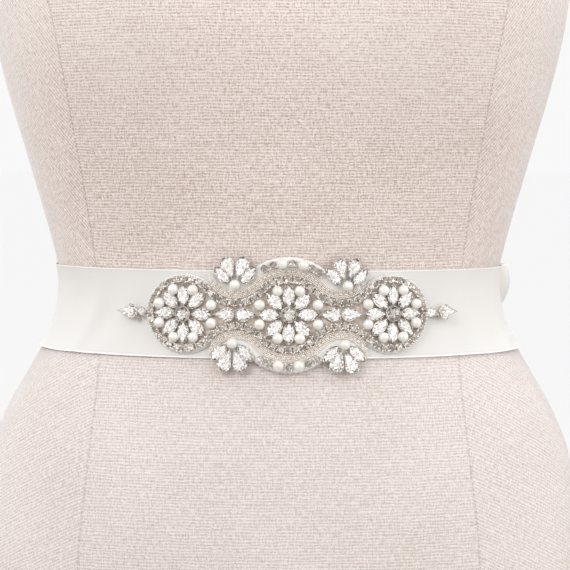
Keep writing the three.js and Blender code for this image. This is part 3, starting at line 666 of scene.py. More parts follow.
# A loop seen from above: share of its length, and millimetres behind its middle line
LOOP_OUTLINE = np.array(
    [(0.015, 3), (0.22, 6), (0.5, 12), (0.8, 15.5), (0.95, 11), (1, 0)]
    + [(0.95, -9), (0.8, -11.5), (0.5, -9), (0.22, -5), (0.015, -3)]
)
LOOP_ROOT_HALF = 10.8  # half the ribbon's gathered width at the knot
LOOP_SPREAD = (10, 0.5)  # it spreads from 10 mm out to half of the loop's length
LOOP_STEPS = 110
BOW_COLUMNS = 25


def smoothstep(value, low, high):
    """0 below low, 1 above high and 3t^2 - 2t^3 between them."""
    t = np.clip((value - low) / (high - low), 0, 1)
    return t * t * (3 - 2 * t)


def even_path(points, steps):
    """Points at even distances along a smooth curve through some points."""
    at = run_along(points)
    knots = np.rec.fromarrays([at, *points.T], names=["at", "x", "y"])
    fine = np.linspace(0, at[-1], 2000)
    curve = np.stack([column(knots, "at", axis, fine) for axis in ("x", "y")], -1)
    run = run_along(curve)
    even = np.linspace(0, run[-1], steps)
    return np.stack([np.interp(even, run, curve[:, k]) for k in (0, 1)], -1)


def bow_loop(name, way, length, droop):
    """The outline of LOOP_OUTLINE carried across the ribbon's width, which narrows and folds into
    flutes towards the knot, and turned down by the droop."""
    path = even_path(LOOP_OUTLINE * (length, 1), LOOP_STEPS)
    run = unit(np.gradient(path, axis=0))
    t = np.linspace(0, 1, BOW_COLUMNS)[None]
    x, offset = path[:, :1], path[:, 1:]
    gathered = 1 - smoothstep(x, LOOP_SPREAD[0], LOOP_SPREAD[1] * length)
    half = RIBBON_WIDTH / MM / 2 * (1 - gathered) + LOOP_ROOT_HALF * gathered
    across = (2 * t - 1 if way > 0 else 1 - 2 * t) * half
    fade = gathered * smoothstep(x, 8, 22) + 0.25 * np.exp(-(((x - 0.45 * length) / 26) ** 2))
    hand = np.where(offset > 0, 1.0, 0.8)
    flute = fade * hand * (1.5 * np.cos(5.2 * np.pi * t + 0.7) + 0.8 * np.sin(9 * np.pi * t + way))
    sag = 0.9 * np.sin(np.pi * t) * smoothstep(x, 0.3 * length, 0.9 * length)
    angle = np.radians(droop)
    level = np.clip(1 - x / (2 * KNOT["half_width"]), 0, 1)
    lean = [way * np.sin(angle) * (1 - level), 0 * level, np.cos(angle) * (1 - level) + level]
    up = unit(np.stack(lean, -1))
    outwards = np.array([way * np.cos(angle), 0, -np.sin(angle)])
    root = np.array([0, KNOT["middle"], (WAIST + RIBBON_MIDDLE) / MM])
    high = across / half
    reach = -np.minimum(4.6 * ((high - 0.6) / 0.6) ** 2, 8) * smoothstep(x, 0.6 * length, length)

    def face(out):
        shift = flute + sag + out
        east = x + reach - run[:, 1:] * shift
        north = offset + run[:, :1] * shift
        spot = root + east[..., None] * outwards + across[..., None] * up
        spot[..., 1] += north
        return spot * MM

    wall_half = RIBBON_WALL / MM / 2
    points, faces = wall(face(wall_half), face(-wall_half))
    made = make_piece(f"ribbon_loop_{name}", points, faces, [satin], "satin")
    steps = np.linspace(0, 2 * length, LOOP_STEPS) * MM
    shape = across.shape
    grid_uv(made, faces, np.broadcast_to(steps[:, None], shape), np.broadcast_to(t, shape))
    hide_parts(f"sash_loop_{name}")


for loop in LOOPS:
    bow_loop(*loop)

KNOT_OUT = 1.6  # the pleats' middle level, out from the loops' roots
KNOT_STEPS = 96
KNOT_COLUMNS = 61


def bow_knot():
    """A ring of ribbon with a rounded square outline round the loops' roots, with four pleats along
    it that wander from side to side."""
    a = full_turn(KNOT_STEPS)[:, None]
    t = np.linspace(0, 1, KNOT_COLUMNS)[None]
    full = (np.cos(a) ** 4 + np.sin(a) ** 4) ** (-1 / 4)
    flare = 1 + KNOT["flare"] * (2 * t - 1) ** 2
    place = t + 0.03 * np.sin(a + 0.4) * np.sin(np.pi * t)
    pleat = 1.5 * np.cos(2 * np.pi * 4.5 * place) + 0.3 * np.cos(2 * np.pi * 7 * place + 1.3)
    pleat = pleat * (0.7 + 0.3 * np.cos(a - 0.5))
    roll = -0.9 * np.abs(2 * t - 1) ** 7

    def face(out):
        grow = KNOT_OUT + pleat + roll + out
        y = KNOT["middle"] + (KNOT["half_depth"] * flare + grow) * np.cos(a) * full
        z = (WAIST + RIBBON_MIDDLE) / MM - (KNOT["half_height"] * flare + grow) * np.sin(a) * full
        x = (2 * t - 1) * KNOT["half_width"] + 0 * a
        return np.stack([x, y, z], -1) * MM

    points, faces = wall(face(0), face(-RIBBON_WALL / MM), ring=True)
    made = make_piece("ribbon_knot", points, faces, [satin], "satin")
    shape = (KNOT_STEPS, KNOT_COLUMNS)
    along = np.broadcast_to(a * 0.015, shape)
    grid_uv(made, faces, along, np.broadcast_to(0.06 + 0.88 * t, shape))
    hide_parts("sash_knot")


bow_knot()

# Each tail's places to the right at its top and at its end, its length, and half the drop of its slant
TAILS = [("right", 14, 42, 206, 12), ("left", -14, -50, 196, -12)]
TAIL_ROOT_HALF = 11
TAIL_SPREAD = 0.6
TAIL_OUT = 3.2  # a tail's outer face, out from the form
TAIL_STEPS = 90


def bow_tail(name, start, end, length, slant):
    """A strip down the form's back that widens from the knot, with flutes that fade downwards and one
    slow wave, and with its end cut on the slant."""
    s = np.linspace(0, 1, TAIL_STEPS)[:, None]
    t = np.linspace(0, 1, BOW_COLUMNS)[None]
    spread = smoothstep(s, 0, TAIL_SPREAD)
    half = TAIL_ROOT_HALF + (RIBBON_WIDTH / MM / 2 - TAIL_ROOT_HALF) * spread
    x = start + (end - start) * s + (2 * t - 1) * half
    height = (RIBBON_MIDDLE / MM - s * (length + slant * (2 * t - 1))) * MM
    wide = column(FORM_SECTIONS, "height", "half", height)
    angle = np.arccos(np.clip(x * MM / wide, -1, 1))
    flute = (1 - smoothstep(s, 0.05, 0.85)) * (0.8 + 0.8 * np.cos(5 * np.pi * t + 0.6 * np.sign(end)))
    wave = 1.1 * (1 - np.cos(2 * np.pi * (1.4 * s + 0.15 * t))) * smoothstep(s, 0.1, 0.4)
    lift = (flute + wave) * smoothstep(s, 0.0, 0.12)
    outer = off_form(angle, height, (TAIL_OUT + lift) * MM)
    inner = off_form(angle, height, (TAIL_OUT + lift) * MM - RIBBON_WALL)
    points, faces = wall(outer, inner)
    made = make_piece(f"ribbon_tail_{name}", points, faces, [satin], "satin")
    shape = x.shape
    grid_uv(made, faces, np.broadcast_to(s * length * MM, shape), np.broadcast_to(t, shape))
    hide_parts(f"sash_tail_{name}")


for tail in TAILS:
    bow_tail(*tail)


# Net backing: stiff white bridal net, cut round the outline of the trim and sewn to the ribbon. All
# the stones, pearls and beads are sewn through it, and the shade between them is painted on its inside in
# brown-grey.
TRIM_SHIFT = 5.5 * MM  # the trim's middle is this far right of the form's
BACKING_IN = 1.95 * MM
BACKING_OUT = 2.75 * MM
TRIM_IN = 3.25 * MM  # where the stones, pearls and beads begin
# The trim's layout is in millimetres
FLOWER_PITCH = 60
CHAIN_RADIUS = 20.2  # from a flower's middle to the chain's centreline
ARC_RADIUS = 30
BACKING_HALF = 100
BEADS_OUT = 6.6  # outer edge of the beaded bands, out from the chain's centreline
BACKING_FAN = {"middle": 31, "reach": 10.5, "height": 26.5, "shoulder": 7}
BACKING_STEPS = 400
BACKING_COLUMNS = 31
trim_angles, trim_distance = girth_table(RIBBON_MIDDLE, TRIM_IN)


def wrap(u, v, out):
    """A point of the trim: u metres round the waist to the right of the trim's middle, v metres above
    the ribbon's middle, and out metres off the form. v drops a little to the right, as the band does.
    The trim is stiff, so a line up it stays upright where the form widens."""
    u, v = np.broadcast_arrays(np.asarray(u, float), np.asarray(v, float))
    far = u + TRIM_SHIFT
    turned = np.interp(np.abs(far), trim_distance, trim_angles + np.pi / 2) * np.sign(far)
    height = RIBBON_MIDDLE + v - BAND_TILT * far
    half, level_half = (column(FORM_SECTIONS, "height", "half", at) for at in (height, RIBBON_MIDDLE))
    angle = -np.arccos(np.sin(turned) * level_half / half)
    return off_form(angle, height, np.broadcast_to(out, u.shape))


def circle_half(u, middle, radius):
    """Half height of a circle at u millimetres."""
    return np.sqrt(np.maximum(0, radius**2 - (np.abs(u) - middle) ** 2))


def backing_half(u):
    """Half height of the net at u millimetres: the highest of the flowers', arcs' and fans' outlines."""
    fan = circle_half(u, BACKING_FAN["middle"], BACKING_FAN["reach"]) / BACKING_FAN["shoulder"]
    return np.max(
        [
            np.full_like(u, 2.2),
            circle_half(u, FLOWER_PITCH, CHAIN_RADIUS + 2.6),
            circle_half(u, 0, ARC_RADIUS + 3),
            BACKING_FAN["height"] * np.minimum(1, fan),
        ],
        axis=0,
    )


# Arcs of the chain's centreline above the middle line, from right to left: u, v, radius and the angles
# where each starts and ends
CHAIN_VALLEY = 6.7  # its least height, between two flowers
RISE = CHAIN_RADIUS - CHAIN_VALLEY
VALLEY_V = ((FLOWER_PITCH / 2) ** 2 - RISE**2) / (2 * RISE)
VALLEY_RADIUS = VALLEY_V - CHAIN_VALLEY
TANGENT = np.arctan2(VALLEY_V, FLOWER_PITCH / 2)
WAVE = [
    (FLOWER_PITCH, 0, CHAIN_RADIUS, 0, np.pi - TANGENT),
    (FLOWER_PITCH / 2, VALLEY_V, -VALLEY_RADIUS, np.pi - TANGENT, TANGENT),
    (0, 0, CHAIN_RADIUS, TANGENT, np.pi - TANGENT),
    (-FLOWER_PITCH / 2, VALLEY_V, -VALLEY_RADIUS, np.pi - TANGENT, TANGENT),
    (-FLOWER_PITCH, 0, CHAIN_RADIUS, TANGENT, np.pi),
]


def wave_path(out, first=0.0, last=np.pi):
    """The wave above the middle line from right to left, moved out from the chain's centreline: arcs
    round the three flowers joined by equal arcs between them."""
    arcs = np.array(WAVE)
    arcs[0, 3] = first
    arcs[-1, 4] = last
    u, v, radius, start, stop = arcs.T[..., None]
    a = start + (stop - start) * np.linspace(0, 1, 80)
    return np.stack([u + (radius + out) * np.cos(a), v + (radius + out) * np.sin(a)], -1).reshape(-1, 2)


def net_material():
    """Stiff white net with fine meshes, and painted brown-grey shade between the stones, beads and thread
    that cover it.
    """
    material, tree, shader = new_material("bridal_net", Roughness=0.7, Sheen_Weight=0.3)
    cloth = cloth_place(tree)
    meshes = add_node(tree, "ShaderNodeTexVoronoi", {"Vector": cloth, "Scale": 900.0})
    cloud = range_node(tree, noise_node(tree, cloth, (420, 420, 1), 3.0), 0.35, 0.65)
    # painted shade: brown-grey where the stones, beads and thread shade the net
    shade = mix_node(tree, cloud, (0.60, 0.50, 0.42, 1), (0.86, 0.78, 0.70, 1))
    color = mix_node(tree, painted(tree, "painted_shade"), (0.90, 0.885, 0.87, 1), shade)
    tree.links.new(color, shader.inputs["Base Color"])
    bump(tree, shader, meshes.outputs["Distance"], 0.6, 0.0003)
    return material


net = net_material()


def net_backing():
    """A strip whose half height is backing_half, with a slightly wavy edge, wrapped round the waist over
    the band. Its inside, up to the outer edge of the beads, is marked where the material paints shade
    between the stones and beads."""
    u = np.linspace(-BACKING_HALF, BACKING_HALF, BACKING_STEPS)
    half = backing_half(u)
    flutter = 0.16 * np.sin(1.9 * u) + 0.12 * np.sin(3.1 * u + 1)
    t = np.linspace(0, 1, BACKING_COLUMNS)
    v = (1 - 2 * t)[None] * (half + flutter * (half > 5))[:, None]
    outer = wrap(u[:, None] * MM, v * MM, BACKING_OUT)
    inner = wrap(u[:, None] * MM, v * MM, BACKING_IN)
    points, faces = wall(outer, inner)
    made = make_piece("net_backing", points, faces, [net], "net")
    shape = v.shape
    grid_uv(made, faces, np.broadcast_to(u[:, None], shape) * MM, v * MM)
    edge = wave_path(BEADS_OUT)
    covered = np.interp(u, edge[::-1, 0], edge[::-1, 1])
    # mask for the painted shade, up to the outer edge of the beads
    painted_shade = smoothstep(np.minimum(covered, half)[:, None] - np.abs(v), 0.3, 1.7)
    paint(made, "painted_shade", np.tile(painted_shade.ravel(), 2))
    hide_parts("trim_backing")


net_backing()


# Stones: machine-cut clear crystal with a silver foil on the back, each pressed into a cup of
# silver-plated brass whose claws are bent over its edge.
def mottle(tree, shader, scale, detail, first, second, spread=0.15):
    """Cloudy base colour between two colours. Returns the noise of its clouds."""
    noise = noise_node(tree, object_place(tree), scale, detail)
    color = mix_node(tree, range_node(tree, noise, 0.5 - spread, 0.5 + spread), first, second)
    tree.links.new(color, shader.inputs["Base Color"])
    return noise


def crystal_material():
    """Clear cut crystal. Its facets are in the mesh."""
    material, tree, shader = new_material(
        "crystal", Roughness=0.0, Transmission_Weight=1.0, IOR=1.38, Specular_IOR_Level=0.8
    )
    mottle(tree, shader, 400.0, 1.0, (0.985, 0.985, 1, 1), (1, 0.99, 0.975, 1), 0.1)
    return material


def foil_material(name, low, high):
    """Silver foil behind a stone, seen through it."""
    material, tree, shader = new_material(name, Metallic=1.0, Roughness=0.04)
    mottle(tree, shader, 260.0, 2.0, low, high)
    return material


def silver_material(name, hollow, face):
    """Silver plating, mottled in small clouds between a duller warm tone and a bright one, rougher where it
    is duller.
    """
    material, tree, shader = new_material(name, Metallic=0.8)
    wear = mottle(tree, shader, 900.0, 3.0, hollow, face)
    tree.links.new(range_node(tree, wear, 0.3, 0.7, 0.32, 0.16), shader.inputs["Roughness"])
    return material


crystal = crystal_material()
silver = silver_material("silver", (0.88, 0.83, 0.78, 1), (1.0, 0.98, 0.955, 1))
cup_silver = silver_material("cup_silver", (0.54, 0.46, 0.39, 1), (0.90, 0.84, 0.77, 1))
foil = foil_material("foil", (0.93, 0.92, 0.91, 1), (1.0, 0.99, 0.98, 1))
darker_foil = foil_material("darker_foil", (0.52, 0.50, 0.48, 1), (0.92, 0.90, 0.87, 1))  # darker and more uneven, for the deep-cut stones' grey centres
# Rings of a cut stone from its back to its table: rise as a share of the height, scale of the
# outline, and whether the ring's corners lie midway between those of the ring before
FLAT_CUT = [
    (0.30, 0.14, 0),
    (0.38, 0.34, 1),
    (0.36, 0.54, 1),
    (0.44, 0.76, 1),
    (0.52, 1.0, 1),
    (0.60, 1.0, 0),
    (0.84, 0.80, 1),
    (1.0, 0.56, 1),
]
DEEP_CUT = [
    (0.08, 0.14, 0),
    (0.24, 0.44, 1),
    (0.38, 0.74, 1),
    (0.5, 1.0, 1),
    (0.56, 1.0, 0),
    (0.78, 0.82, 1),
    (1.0, 0.58, 1),
]


def round_outline(radius, count):
    """Corners of a round stone's girdle."""
    a = full_turn(count)
    return np.stack([radius * np.cos(a), radius * np.sin(a)], -1)


def even_outline(points, count):
    """Corners at an even pitch along a closed outline, from its first point."""
    points = np.concatenate([points, points[:1]])
    run = run_along(points)
    at = np.linspace(0, run[-1], count, endpoint=False)
    return np.stack([np.interp(at, run, points[:, k]) for k in (0, 1)], -1)


def leaf_outline(length, width, count=22):
    """Two arches that meet in points at both ends, (1 - |t|^2.3) of the half width at t."""
    t = np.linspace(1, -1, 60, endpoint=False)
    side = np.stack([t * length / 2, (1 - np.abs(t) ** 2.3) * width / 2], -1)
    return even_outline(np.concatenate([side, -side]), count)


def drop_outline(length, width, count=22):
    """A circle at the -x end and the two tangents to it from the point at the +x end."""
    radius = width / 2
    tangent = np.arccos(radius / (length - radius))
    a = np.linspace(tangent, 2 * np.pi - tangent, 60)
    ring = np.stack([radius - length / 2 + radius * np.cos(a), radius * np.sin(a)], -1)
    return even_outline(np.concatenate([[[length / 2, 0]], ring]), count)


def cut_stone(outline, height, cut):
    """Rings of the outline, scaled about its middle. Where a ring is set midway, the band below it is
    cut into triangles, as facets are, and below the girdle they are a little uneven. Gives the points,
    the faces and each face's material: 0 for crystal, and foil for the bands below the girdle."""
    count = len(outline)
    middle = outline.mean(axis=0)
    girdle = [scale for _, scale, _ in cut].index(1.0)
    behind = 2 if cut is DEEP_CUT else 1
    rings, faces, which = [], [], []
    shifted = False
    for k, (rise, scale, midway) in enumerate(cut):
        shifted = shifted != bool(midway)
        flat = (outline + np.roll(outline, -1, axis=0)) / 2 if shifted else outline
        uneven = 0.035 * np.sin(2.4 * np.arange(count) + 1.7 * k) * (k < girdle)
        rings.append(np.column_stack([middle + (flat - middle) * scale, (rise + uneven) * height]))
        if k:
            j = np.arange(count)
            low, low2 = (k - 1) * count + j, (k - 1) * count + (j + 1) % count
            high, high2 = k * count + j, k * count + (j + 1) % count
            if midway and shifted:
                faces += [np.stack([low, low2, high], -1), np.stack([low2, high2, high], -1)]
            else:
                faces += [np.stack([low, low2, high2], -1), np.stack([low, high2, high], -1)]
            which += [np.full(2 * count, behind if k <= girdle else 0)]
    back = np.array([np.arange(count)[::-1]])
    table = np.array([(len(cut) - 1) * count + np.arange(count)])
    faces += [back, table]
    which += [np.array([behind, 0])]
    return np.concatenate(rings), faces, np.concatenate(which)


def grown(outline, by):
    """An outline moved out by a distance along the bisector of its neighbours' directions."""
    run = unit(np.roll(outline, -1, axis=0) - np.roll(outline, 1, axis=0))
    return outline + by * np.stack([run[:, 1], -run[:, 0]], -1)


# Rings of a cup's wall: rise as a share of the stone's height, and distance out from its outline
CUP_RINGS = [(0.0, -0.5), (0.0, -0.1), (0.3, 0.2), (0.56, 0.26), (0.64, 0.22), (0.62, 0.04), (0.3, -0.4)]
# Four sections of a claw: distance out from the outline, rise as a share of the height, half width
CLAW_SECTIONS = np.array([(0.36, 0.5, 0.34), (0.40, 0.74, 0.3), (0.05, 0.92, 0.24), (-0.55, 0.95, 0.16)])
CLAW_WALL = 0.2


def claw_cup(outline, height, claws):
    """A thin cup round the outline, up to just over its edge, and a claw bent over the stone at each
    of the given places round it."""
    count = len(outline)
    rings = [
        np.column_stack([grown(outline, out), np.full(count, rise * height)]) for rise, out in CUP_RINGS
    ]
    points = [np.concatenate(rings)]
    faces = [grid_faces(len(CUP_RINGS), count, ring=True, across_ring=True)]
    away, rise, half = CLAW_SECTIONS.T[:, :, None, None]
    bent = rise > 0.8  # these sections lie over the stone, so their wall is measured upwards
    wall_side, hand = np.array([[0], [CLAW_WALL]]), np.array([[-1, 1]])
    outwards = grown(outline, 1) - outline
    for k, place in enumerate(claws):
        out = outwards[place % count]
        run = np.array([-out[1], out[0]])
        flat = (away + wall_side * ~bent)[..., None] * out + (half * hand)[..., None] * run
        flat = flat + outline[place % count]
        level = np.broadcast_to(rise * height + wall_side * bent, flat.shape[:-1])
        points.append(np.concatenate([flat, level[..., None]], axis=-1).reshape(-1, 3))
        loops = np.arange(16).reshape(4, 4)[:, [0, 1, 3, 2]]
        strip = loops.ravel()[grid_faces(4, 4, across_ring=True)]
        start = len(CUP_RINGS) * count + 16 * k
        faces += [strip + start, loops[:1, ::-1] + start, loops[3:] + start]
    return np.concatenate(points), faces


def seat(u, v, out=TRIM_IN, turn=0.0, lean=None):
    """Places on the trim: each one's origin and its three axes, along u turned by an angle, across
    and outwards. lean tips the first two axes outwards a little."""
    u, v, turn = np.broadcast_arrays(np.asarray(u, float), np.asarray(v, float), turn)
    step = 0.5 * MM
    along = unit(wrap(u + step, v, out) - wrap(u - step, v, out))
    normal = unit(wrap(u, v, out + step) - wrap(u, v, out))
    up = unit(np.cross(normal, along))
    along = np.cross(up, normal)
    c, s = np.cos(turn)[..., None], np.sin(turn)[..., None]
    x, y = c * along + s * up, c * up - s * along
    if lean is not None:
        x = unit(x + lean[..., :1] * normal)
        y = y + lean[..., 1:] * normal
        y = unit(y - x * np.sum(x * y, -1, keepdims=True))
        normal = np.cross(x, y)
    return wrap(u, v, out), np.stack([x, y, normal], -1)


def scatter(points, faces, origins, axes):
    """Copies of a small mesh in millimetres, one at each place, joined as one mesh."""
    placed = origins[:, None] + np.einsum("nik,pk->npi", axes, points * MM)
    shift = (np.arange(len(origins)) * len(points))[:, None, None]
    return placed.reshape(-1, 3), [(group[None] + shift).reshape(-1, group.shape[1]) for group in faces]


chance = np.random.default_rng(6)
LEAN = 0.06  # how far a stone may be tipped in its cup, in radians
CHAIN_LEAN = 0.12


def split(which, faces):
    """The faces' materials, cut into the same groups as the faces."""
    return np.split(which, np.cumsum([len(group) for group in faces])[:-1])


def join(meshes):
    """Several meshes as one."""
    starts = np.cumsum([0] + [len(points) for points, _ in meshes])
    faces = [group + start for (_, groups), start in zip(meshes, starts) for group in groups]
    return np.concatenate([points for points, _ in meshes]), faces


def set_stones(name, kinds, node, tipped=LEAN):
    """Stones in their cups as two pieces. Each kind is an outline, a height, a cut, the claws' places,
    arrays of u, v and turn, and how far it is raised, in millimetres and radians."""
    stones, which, cups = [], [], []
    for outline, height, cut, claws, u, v, turn, raised in kinds:
        u, v, turn = np.broadcast_arrays(np.atleast_1d(u), np.atleast_1d(v), np.atleast_1d(turn))
        lean = chance.normal(0, tipped, (len(u), 2))
        place = seat(u * MM, v * MM, TRIM_IN + raised * MM, turn.astype(float), lean)
        stone, faces, behind = cut_stone(outline, height, cut)
        stones.append(scatter(stone, faces, *place))
        which += [np.tile(group, len(u)) for group in split(behind, faces)]
        cups.append(scatter(*claw_cup(outline, height, claws), *place))
    facets = [crystal, foil, darker_foil]
    made = make_piece(f"{name}_stones", *join(stones), facets, "crystal", False, np.concatenate(which))
    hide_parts(node)
    make_piece(f"{name}_cups", *join(cups), [cup_silver], "silver")


# Flowers: eight leaf-shaped stones round a taller round one, each on its own claw cup, sewn through
# the net, with a pearl between each two leaves.
PETAL_LENGTH, PETAL_WIDTH, PETAL_HEIGHT = 12.8, 6.5, 3.0
PETAL_INNER = 4.6  # from the flower's middle to a petal's near point
CENTRE_RADIUS, CENTRE_HEIGHT = 4.4, 4.2
RAISED = 0.2  # a stone's cup stands this far off the net
LEAF_CLAWS = (3, 8, 14, 19)
petal = leaf_outline(PETAL_LENGTH, PETAL_WIDTH)
centre = round_outline(CENTRE_RADIUS, 14)
# Each flower's place and its pearls, as a radius and an angle above the middle line: beside it to the
# right and to the left, and upright to the right and to the left, with their likes below the line
FLOWERS = [
    ("left", -FLOWER_PITCH, [(17.5, 17.6), (15.1, 22.5), (15.1, 66), (15.1, 69)]),
    ("middle", 0, [(17.2, 19.4), (17.2, 19.4), (15.1, 65.9), (15.1, 65.9)]),
    ("right", FLOWER_PITCH, [(15.1, 22), (16.3, 21.2), (15.1, 67), (15.1, 67)]),
]
PEARL_RADIUS = 3.1


def pearl_material():
    """Cream pearls: a soft base under a clear lustre, warmer in patches."""
    material, tree, shader = new_material(
        "pearl",
        Roughness=0.3,
        Coat_Weight=0.9,
        Coat_Roughness=0.14,
        Coat_IOR=2.0,
        Subsurface_Weight=0.1,
        Subsurface_Radius=(0.002, 0.0016, 0.0012),
        Subsurface_Scale=0.5,
        Sheen_Weight=0.1,
    )
    mottle(tree, shader, 160.0, 2.0, (0.80, 0.755, 0.685, 1), (0.88, 0.865, 0.835, 1))
    return material


pearl = pearl_material()


def ball(radius, sides, rings):
    """A ball from circles of latitude, with one point at each pole."""
    tilt = np.linspace(-np.pi / 2, np.pi / 2, rings + 1)[1:-1, None]
    turn = full_turn(sides)[None]
    flat = np.cos(tilt)
    grid = np.stack([flat * np.cos(turn), flat * np.sin(turn), np.sin(tilt) + 0 * turn], -1)
    points = np.concatenate([grid.reshape(-1, 3), [[0, 0, -1], [0, 0, 1]]]) * radius
    j, last = np.arange(sides), (rings - 2) * sides
    low, high = (rings - 1) * sides, (rings - 1) * sides + 1
    caps = [
        np.stack([np.full(sides, low), (j + 1) % sides, j], -1),
        np.stack([np.full(sides, high), last + j, last + (j + 1) % sides], -1),
    ]
    return points, [grid_faces(rings - 1, sides, across_ring=True), *caps]


def sew_pearls(name, u, v, raised, nodes):
    """Pearls at places on the trim, each a little smaller or larger than the next."""
    u, v = np.broadcast_arrays(np.asarray(u, float), np.asarray(v, float))
    size = chance.normal(1, 0.02, len(u))
    origins, axes = seat(u * MM, v * MM, TRIM_IN + (PEARL_RADIUS + raised) * MM)
    points, faces = scatter(*ball(PEARL_RADIUS, 24, 14), origins, axes * size[:, None, None])
    made = make_piece(name, points, faces, [pearl], "pearl")
    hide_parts(*nodes)


def flower(name, middle, pearls):
    """Eight petals and a centre at their middle, with the pearls between them."""
    turns = np.radians(np.arange(0, 360, 45))
    far = PETAL_INNER + PETAL_LENGTH / 2
    u, v = middle + far * np.cos(turns), far * np.sin(turns)
    kinds = [
        (petal, PETAL_HEIGHT, FLAT_CUT, LEAF_CLAWS, u, v, turns, RAISED),
        (centre, CENTRE_HEIGHT, DEEP_CUT, (0, 3, 7, 10), middle, 0, 0.2, RAISED),
    ]
    set_stones(f"flower_{name}", kinds, f"trim_flower_{name}")
    radii, lifts = np.array(pearls)[[0, 1, 1, 0, 2, 3, 3, 2]].T
    angles = np.radians(np.array([0, 180, 180, 0] * 2) + np.array([1, -1, 1, -1] * 2) * lifts)
    nodes = [f"trim_pearl_{name}_{k}" for k in range(1, 9)]
    sew_pearls(f"pearls_{name}", middle + radii * np.cos(angles), radii * np.sin(angles), 0.0, nodes)


for each in FLOWERS:
    flower(*each)


# Links and ends: between two flowers lie two drop-shaped stones, round end to round end. Each end of
# the trim is an oval and a small round stone, then a drop that points away.
DROP_LENGTH, DROP_WIDTH, DROP_HEIGHT = 12.5, 7.8, 3.4
LINK_DROP_LENGTH = 11.9
DROP_CLAWS = (0, 6, 11, 16)
drop = drop_outline(DROP_LENGTH, DROP_WIDTH)
link_drop = drop_outline(LINK_DROP_LENGTH, DROP_WIDTH)
speck = round_outline(1.4, 8)
# Each end's side, its oval's place, length and width, its small stone's place and its drop's place
ENDS = [
    ("left", -1, (85.2, 0.6, 5.4, 4.0), (88.8, -3.1), 94.6),
    ("right", 1, (84.4, 0.2, 8.2, 4.6), (89.2, -1.6), 96.3),
]


def link(name, middle):
    """Two drops, round end to round end."""
    away = LINK_DROP_LENGTH / 2 + 0.15
    spots, turns = middle + np.array([away, -away]), np.array([0, np.pi])
    kinds = [(link_drop, DROP_HEIGHT, FLAT_CUT, DROP_CLAWS, spots, 0, turns, RAISED)]
    set_stones(f"link_{name}", kinds, f"trim_link_{name}")


def trim_end(name, way, oval, small, drop_u):
    """An oval stone raised over the chain, then the small stone and the drop."""
    turn = 0 if way > 0 else np.pi
    u, v, length, width = oval
    oval_outline = leaf_outline(length, width, 12)
    kinds = [
        (oval_outline, 2.4, FLAT_CUT, (0, 3, 6, 9), way * u, v, turn + 0.12, 1.2),
        (speck, 2.2, DEEP_CUT, (0, 2, 4, 6), way * small[0], small[1], turn, RAISED),
        (drop, DROP_HEIGHT, FLAT_CUT, DROP_CLAWS, way * drop_u, 0.3, turn, RAISED),
    ]
    set_stones(f"end_{name}", kinds, f"trim_end_{name}")


link("left", -FLOWER_PITCH / 2)
link("right", FLOWER_PITCH / 2)
for each in ENDS:
    trim_end(*each)


# Fans: a pearl, two drops upright above it and a leaf-shaped stone leaning to either side.
# Each fan's pearl, and whether the fan opens upwards or downwards from it
FANS = [
    ("upper_left", -30, 17.2, 1),
    ("upper_right", 33, 16.6, 1),
    ("lower_left", -31.7, -17, -1),
    ("lower_right", 31.3, -17.8, -1),
]
FAN_DROP_LENGTH, FAN_DROP_TURN, FAN_DROP_AWAY = 13.2, 20, 3.7
FAN_LEAF_ACROSS, FAN_LEAF_UP, FAN_LEAF_TURN = 7.5, 5.2, 42
fan_drop = drop_outline(FAN_DROP_LENGTH, DROP_WIDTH)
fan_leaf = leaf_outline(12.6, 6.0)


def fan(name, u, v, up):
    """Two drops with their points to the pearl and a leaf leaning away at either side."""
    hands = np.array([-1, 1])
    far, turn = FAN_DROP_AWAY + FAN_DROP_LENGTH / 2, np.radians(FAN_DROP_TURN)
    drop_u, drop_v = u + hands * far * np.sin(turn), v + up * far * np.cos(turn)
    drop_turn = up * np.radians(-90 - hands * FAN_DROP_TURN)
    leaf_u, leaf_v = u + hands * FAN_LEAF_ACROSS, v + up * FAN_LEAF_UP
    leaf_turn = up * np.radians(90 - hands * FAN_LEAF_TURN)
    kinds = [
        (fan_drop, DROP_HEIGHT, FLAT_CUT, DROP_CLAWS, drop_u, drop_v, drop_turn, RAISED),
        (fan_leaf, 3.0, FLAT_CUT, LEAF_CLAWS, leaf_u, leaf_v, leaf_turn, RAISED),
    ]
    set_stones(f"fan_{name}", kinds, f"trim_fan_{name}")
    sew_pearls(f"fan_pearl_{name}", [u], [v], 0.0, [f"trim_fan_pearl_{name}"])


for each in FANS:
    fan(*each)


# Stone chain: round stones in square-cornered cups, linked in a row. It is sewn round each flower and
# runs on in one wave above and below the links.
def spaced(path, pitch, closed=False):
    """Places at an even pitch along a path: u, v and the direction."""
    if closed:
        path = np.concatenate([path, path[:1]])
    steps = np.linalg.norm(np.diff(path, axis=0), axis=-1)
    apart = steps > 1e-6
    path = path[np.concatenate([[True], apart])]
    run = np.concatenate([[0], np.cumsum(steps[apart])])
    at = np.linspace(0, run[-1], max(2, round(run[-1] / pitch)), endpoint=not closed)
    u, v = (np.interp(at, run, path[:, k]) for k in (0, 1))
    along, up = (np.interp(at + 0.1, run, path[:, k]) - np.interp(at - 0.1, run, path[:, k]) for k in (0, 1))
    return u, v, np.arctan2(up, along)


CHAIN_PITCH = 4.5
CHAIN_STONE = round_outline(1.8, 10)
CHAIN_CORNER = 2.3  # from a stone's middle to each of its cup's four rounded claws
upper = wave_path(0)
chain_u, chain_v, chain_turn = spaced(np.concatenate([upper, -upper]), CHAIN_PITCH, closed=True)
chain_u = chain_u + chance.normal(0, 0.1, len(chain_u))
chain_v = chain_v + chance.normal(0, 0.1, len(chain_v))
chain_turn = chain_turn + chance.normal(0, 0.12, len(chain_turn))
chain_kinds = [(CHAIN_STONE, 2.4, DEEP_CUT, (), chain_u, chain_v, chain_turn, 0.0)]
set_stones("chain", chain_kinds, "trim_stone_chain", CHAIN_LEAN)


